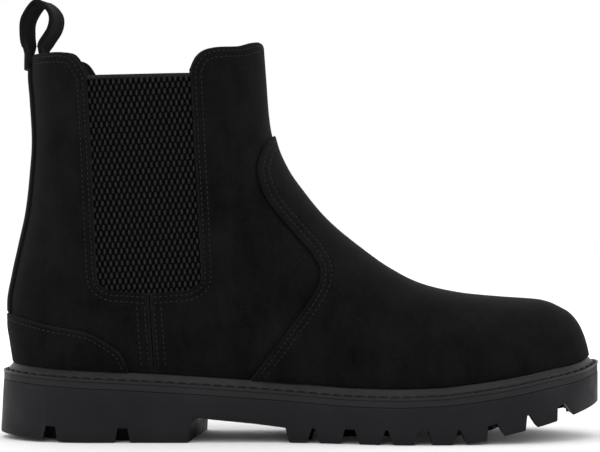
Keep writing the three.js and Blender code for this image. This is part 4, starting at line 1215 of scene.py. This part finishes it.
def sole_side(k, side, run, slots):
    """Half of the sole's rings, on one side: lines of points from its top round its edge to under it."""
    def place(shift):
        return np.stack([np.interp(run[0] + shift, run[1], side[:, j]) for j in (0, 1)], axis=1)

    outer = -1 if k == 0 else 1
    at, way = place(0), place(0.8) - place(-0.8)
    out = np.stack([-way[:, 1], way[:, 0]], axis=1) * outer
    out[0], out[-1] = (-1, 0), (1, 0)
    out /= np.linalg.norm(out, axis=1, keepdims=True)
    straight = smooth(0.42, 0.62, np.abs(out[:, 1]))[:, None]  # slots are cut straight across
    across = mix(out, np.array([0, outer]), straight)
    across /= (across * out).sum(axis=1, keepdims=True)
    to_middle = np.abs(at[:, 1] - middle(at[:, 0]))
    flare = HEEL_FLARE * (1 - smooth(-60, 0, at[:, 0]))
    lift = np.interp(at[:, 0], slots[:, 0], slots[:, 1])

    def moved(by):
        limit = np.minimum(1, 0.97 * to_middle / np.maximum(np.abs(across[:, 1] * by), 1e-6))
        return at + across * (by * np.where(by < 0, limit, 1))[:, None]

    high = outsole_top(at[:, 0])
    low = under_height(at[:, 0] + across[:, 0] * flare, at[:, 1], 0 * lift, lift)
    line = []
    for inset in (18, 0.7):
        p = moved(0 * flare - inset)
        line.append(np.column_stack([p, outsole_top(p[:, 0])]))
    line.append(np.column_stack([moved(0 * flare - 0.15), high - 0.25]))
    line.append(np.column_stack([at, high - 0.8]))
    for share in (0.25, 0.5, 0.75, 1):
        line.append(np.column_stack([moved(flare * share), mix(high - 0.8, low + 0.7, share)]))
    line.append(np.column_stack([moved(flare - 0.15), low + 0.22]))
    for inset in UNDER_INSETS:
        p = moved(flare - inset)
        line.append(np.column_stack([p, under_height(p[:, 0], p[:, 1], inset + 0 * flare, lift)]))
    return line, lift


def make_outsole():
    sides, lengths, rows, slots = sole_rows()
    (left, left_lift), (right, right_lift) = [
        sole_side(k, sides[k], (rows[:, k], lengths[k]), slots[k]) for k in (0, 1)
    ]
    inner = []
    for t in np.linspace(0, 1, 16)[1:-1]:
        p = mix(left[-1][:, :2], right[-1][:, :2], t)
        lift = left_lift if t < 0.5 else right_lift
        inner.append(np.column_stack([p, under_height(p[:, 0], p[:, 1], 30 + 0 * lift, lift)]))
    rings = np.stack(left + inner + right[::-1], axis=1)
    points, faces = merged(rings.reshape(-1, 3), band(*rings.shape[:2]))
    sole = mesh_piece("lugged_outsole", points, [face[::-1] for face in faces], SOLE, 28)
    carry(sole, "sole_rubber", "outsole")
    blocks = joined(*[cross_block(*place) for place in BLOCKS])
    carry(mesh_piece("tread_blocks", *blocks, SOLE, 28), "sole_rubber")


BLOCKS = [(-101, 0, 30, 9, 0), (-101, 0, 10, 26, 0)]
for block_x in range(26, 102, 25):
    BLOCKS += [(block_x, float(middle(block_x)), 17, 7, turn) for turn in (math.pi / 4, -math.pi / 4)]


def joined(*parts):
    points, faces = [], []
    for more, rings in parts:
        faces += [[i + len(points) for i in face] for face in rings]
        points += more
    return points, faces


def cross_block(x, y, length, width, turn):
    """Tread block under the middle of the sole, with rounded lower edges."""
    points = []
    for grow, down in ((0.5, 6.9), (0, 5.5), (0, 0.7), (-0.2, 0.2), (-0.7, 0.0)):
        for sx, sy in ((-1, -1), (1, -1), (1, 1), (-1, 1)):
            u, v = sx * (length / 2 + grow), sy * (width / 2 + grow)
            px = x + u * math.cos(turn) - v * math.sin(turn)
            py = y + u * math.sin(turn) + v * math.cos(turn)
            points.append(np.array([px, py, float(tread(px)) + down]))
    return points, [[0, 1, 2, 3], [19, 18, 17, 16], *band(5, 4)]


def make_midsole():
    loop = outline(0, lambda x: welt_show(x) - 0.15)
    fill = BOTTOM_GAP - 0.04
    rand = plate(loop, loop, lambda x: midsole_top(x) + fill, lambda x: midsole_under(x) - fill, 0.12, 8)
    carry(mesh_piece("midsole_rubber", *rand, RAND, 30), "rand_rubber", "midsole")


GROOVE_FLOOR = -WELT_FALL - 1.25
WELT_PITCH = 5.9


def make_welt():
    half = THREAD / 2 + 0.35
    outer, inner = -GROOVE_SET_IN + half, -GROOVE_SET_IN - half
    foot = -WELT_SHOW_TOE - 1  # where the slope meets the leather
    section = [
        [-WELT_DEPTH, -WELT_THICKNESS], [-0.3, -WELT_THICKNESS], [0.05, -WELT_THICKNESS + 0.1],
        [0.15, -WELT_THICKNESS + 0.4], [0.12, GROOVE_FLOOR + 0.3], [-0.1, GROOVE_FLOOR + 0.48],
        [outer + 0.1, GROOVE_FLOOR + 0.4], [outer, GROOVE_FLOOR + 0.25], [outer - 0.1, GROOVE_FLOOR],
        [inner + 0.1, GROOVE_FLOOR], [inner, GROOVE_FLOOR + 0.3], [inner, -WELT_FALL - 0.2],
        [inner - 0.15, -WELT_FALL + 0.1], [mix(inner, foot, 0.3), mix(-WELT_FALL, -0.4, 0.33)],
        [mix(inner, foot, 0.65), mix(-WELT_FALL, -0.4, 0.72)], [foot + 0.6, -0.55], [foot + 0.1, -0.12],
        [foot - 0.5, 0], [-WELT_DEPTH, 0],
    ]
    piece = mesh_piece("welt_strip", *sweep(SOLE_LOOP, section, feather), WELT, 34)
    carry(piece, "welt_rubber", "welt")


def make_welt_stitches():
    normals = loop_normals(SOLE_LOOP)
    line = SOLE_LOOP - normals * GROOVE_SET_IN
    line = np.concatenate([line, line[:1]])
    path = np.column_stack([line, feather(line[:, 0]) + GROOVE_FLOOR + 0.1 + THREAD / 2])
    count = int(length_of(path) / WELT_PITCH)
    at = along(path, (np.arange(count) + 0.5) / count)
    ahead = along(path, (np.arange(count) + 0.55) / count)
    found = tree_of(flat(SOLE_LOOP))
    ups = [np.array([*(normals[found.find((p[0], p[1], 0))[1]] * 0.7), 0.7]) for p in at]
    sewn = capsules(list(at), list(ahead - at), ups, 4.9, 0.68, 0.85)
    carry(mesh_piece("welt_stitches", *sewn, WELT_SEWN, 60), "thread", "welt_thread")


def make_footbed():
    deep = LEATHER + LINING + PLY + 2 * LAYER_GAP + 1.0
    low = BOARD_THICKNESS + 2 * BOTTOM_GAP
    high = low + FOOTBED_THICKNESS
    loops = outline(high, -deep), outline(low, -deep)
    bed = plate(*loops, lambda x: feather(x) + high, lambda x: feather(x) + low, 0.8, 14)
    carry(mesh_piece("footbed_cover_cloth", *bed, FOOTBED, 40), "footbed_cover", "footbed")


# ---- Pull loop ----
def loop_path():
    rear = float(back(186)) - OVERLAY_GAP - STRAP_THICKNESS / 2
    inner = float(back(190)) + LEATHER + LINING + 2 * LAYER_GAP + STRAP_THICKNESS / 2 + 0.3
    base = COLLAR_BACK
    return spline([
        [rear - 0.4, 186.6], [rear - 0.4, base - 3], [rear - 0.3, base + 3], [rear - 0.5, base + 11],
        [rear + 0.5, base + 19.5], [rear + 6.8, base + 27.4], [rear + 13.7, base + 22],
        [rear + 13.6, base + 14], [inner - 0.2, base + 4.5], [inner, base - 2], [inner, base - 10],
    ])


def strap_lean(z):
    """Sideways twist of the strap, along X for each step across it."""
    return mix(0, 0.19, smooth(COLLAR_BACK, COLLAR_BACK + 7, z))


def strap_bend(z, y):
    """How much the strap follows the round of the heel."""
    level = np.minimum(z, COLLAR_BACK)
    bend = back_spot(level, np.abs(y)) - back(level)
    return bend * mix(1, 0.3, smooth(COLLAR_BACK, COLLAR_BACK + 14, z))


def strap_point(p, way, y, out):
    """A place this far across the strap and this far off the middle of its thickness."""
    x = p[0] - way[1] * out + strap_lean(p[1]) * y + strap_bend(p[1], y)
    return np.array([x, y, p[1] + way[0] * out])


def strap_stitches(line):
    spots, ways, ups = [], [], []
    count = int(length_of(line) / STITCH_PITCH)
    mids = along(line, (np.arange(count) + 0.5) / count)
    ahead = along(line, (np.arange(count) + 0.6) / count)
    for p, q in zip(mids, ahead):
        way = (q - p) / np.linalg.norm(q - p)
        for edge in (-1, 1):
            for face in (-1, 1):
                y = edge * (STRAP_WIDTH / 2 - STRAP_INSET)
                spots.append(strap_point(p, way, y, face * (STRAP_THICKNESS / 2 - 0.1)))
                ways.append(np.array([way[0], 0, way[1]]))
                ups.append(np.array([-way[1] * face, 0, way[0] * face]))
    return capsules(spots, ways, ups, STITCH_LENGTH, 0.32)


def make_pull_loop():
    line, steps = loop_path(), 150
    at = along(line, np.linspace(0, 1, steps))
    way = np.gradient(at, axis=0)
    way /= np.linalg.norm(way, axis=1, keepdims=True)
    half, wide = STRAP_THICKNESS / 2, STRAP_WIDTH / 2
    section = []
    for u in np.linspace(-1, 1, 23):
        seam = 0.22 * math.exp(-(((abs(u) * wide - (wide - STRAP_INSET)) / 0.7) ** 2))
        edge = 0.55 * (1 - float(round_rise((1 - abs(u)) * wide / 0.9)))
        section.append((u * wide, edge + seam - half))
    section += [(y, -out) for y, out in reversed(section)]
    points = [strap_point(p, w, y, out) for p, w in zip(at, way) for y, out in section]
    size = len(section)
    faces = [[a, d, c, b] for a, b, c, d in band(steps, size)]
    faces += [list(range(size))[::-1], [(steps - 1) * size + k for k in range(size)]]
    strap = mesh_piece("pull_loop_strap", points, faces, NUBUCK, 50)
    carry(strap, "nubuck", "pull_loop", bend=LOOP_BEND)
    sewn = mesh_piece("pull_loop_stitches", *strap_stitches(line), SEWN, 60)
    carry(sewn, "thread", bend=LOOP_BEND)


# ---- CAD nodes that stay, inside the boot ----
for node_name, node_material in (
    ("bottom_filler", CORK), ("shank", STEEL), ("insole_board", BOARD), ("toe_puff", STIFF),
    ("heel_stiffener", STIFF),
):
    node_mesh = frame["nodes"][node_name].data
    node_mesh.materials.clear()
    node_mesh.materials.append(node_material)

make_vamp()
make_front_quarter()
make_back_quarters()
make_counter_cover()
make_back_strip()
make_gores()
make_linings()
make_outsole()
make_midsole()
make_welt()
make_welt_stitches()
make_footbed()
make_pull_loop()


# ---- Floor ----
def make_floor():
    s = Shader("studio_floor")
    away = s.add("ShaderNodeVectorMath", Vector=s.coords)
    away.operation = "LENGTH"
    # painted light: the floor is painted darker near the boot and lighter further off, where the lamps fall
    # off
    far = s.ramp(away.outputs["Value"], 0, 1, 0.35, 1.1)  # the lamps fall off far from the boot
    near_colour = s.blend(s.noise(3, 2), (0.8, 0.8, 0.8), (0.83, 0.83, 0.83))
    s.set(Base_Color=s.blend(far, near_colour, (0.97, 0.97, 0.97)), Roughness=0.85)
    # painted light: the floor glows, more so further from the boot, so that it meets the white world with
    # no horizon
    s.set(Emission_Color=(1, 1, 1, 1), Emission_Strength=s.ramp(far, 0.01, 0.15))
    mesh = bpy.data.meshes.new("floor")
    ring = [(math.cos(a) * 9, math.sin(a) * 9, -0.0002) for a in np.linspace(0, 2 * math.pi, 65)[:-1]]
    mesh.from_pydata(ring, [], [list(range(64))])
    mesh.materials.append(s.material)
    floor = bpy.data.objects.new("floor", mesh)
    bpy.context.scene.collection.objects.link(floor)


make_floor()
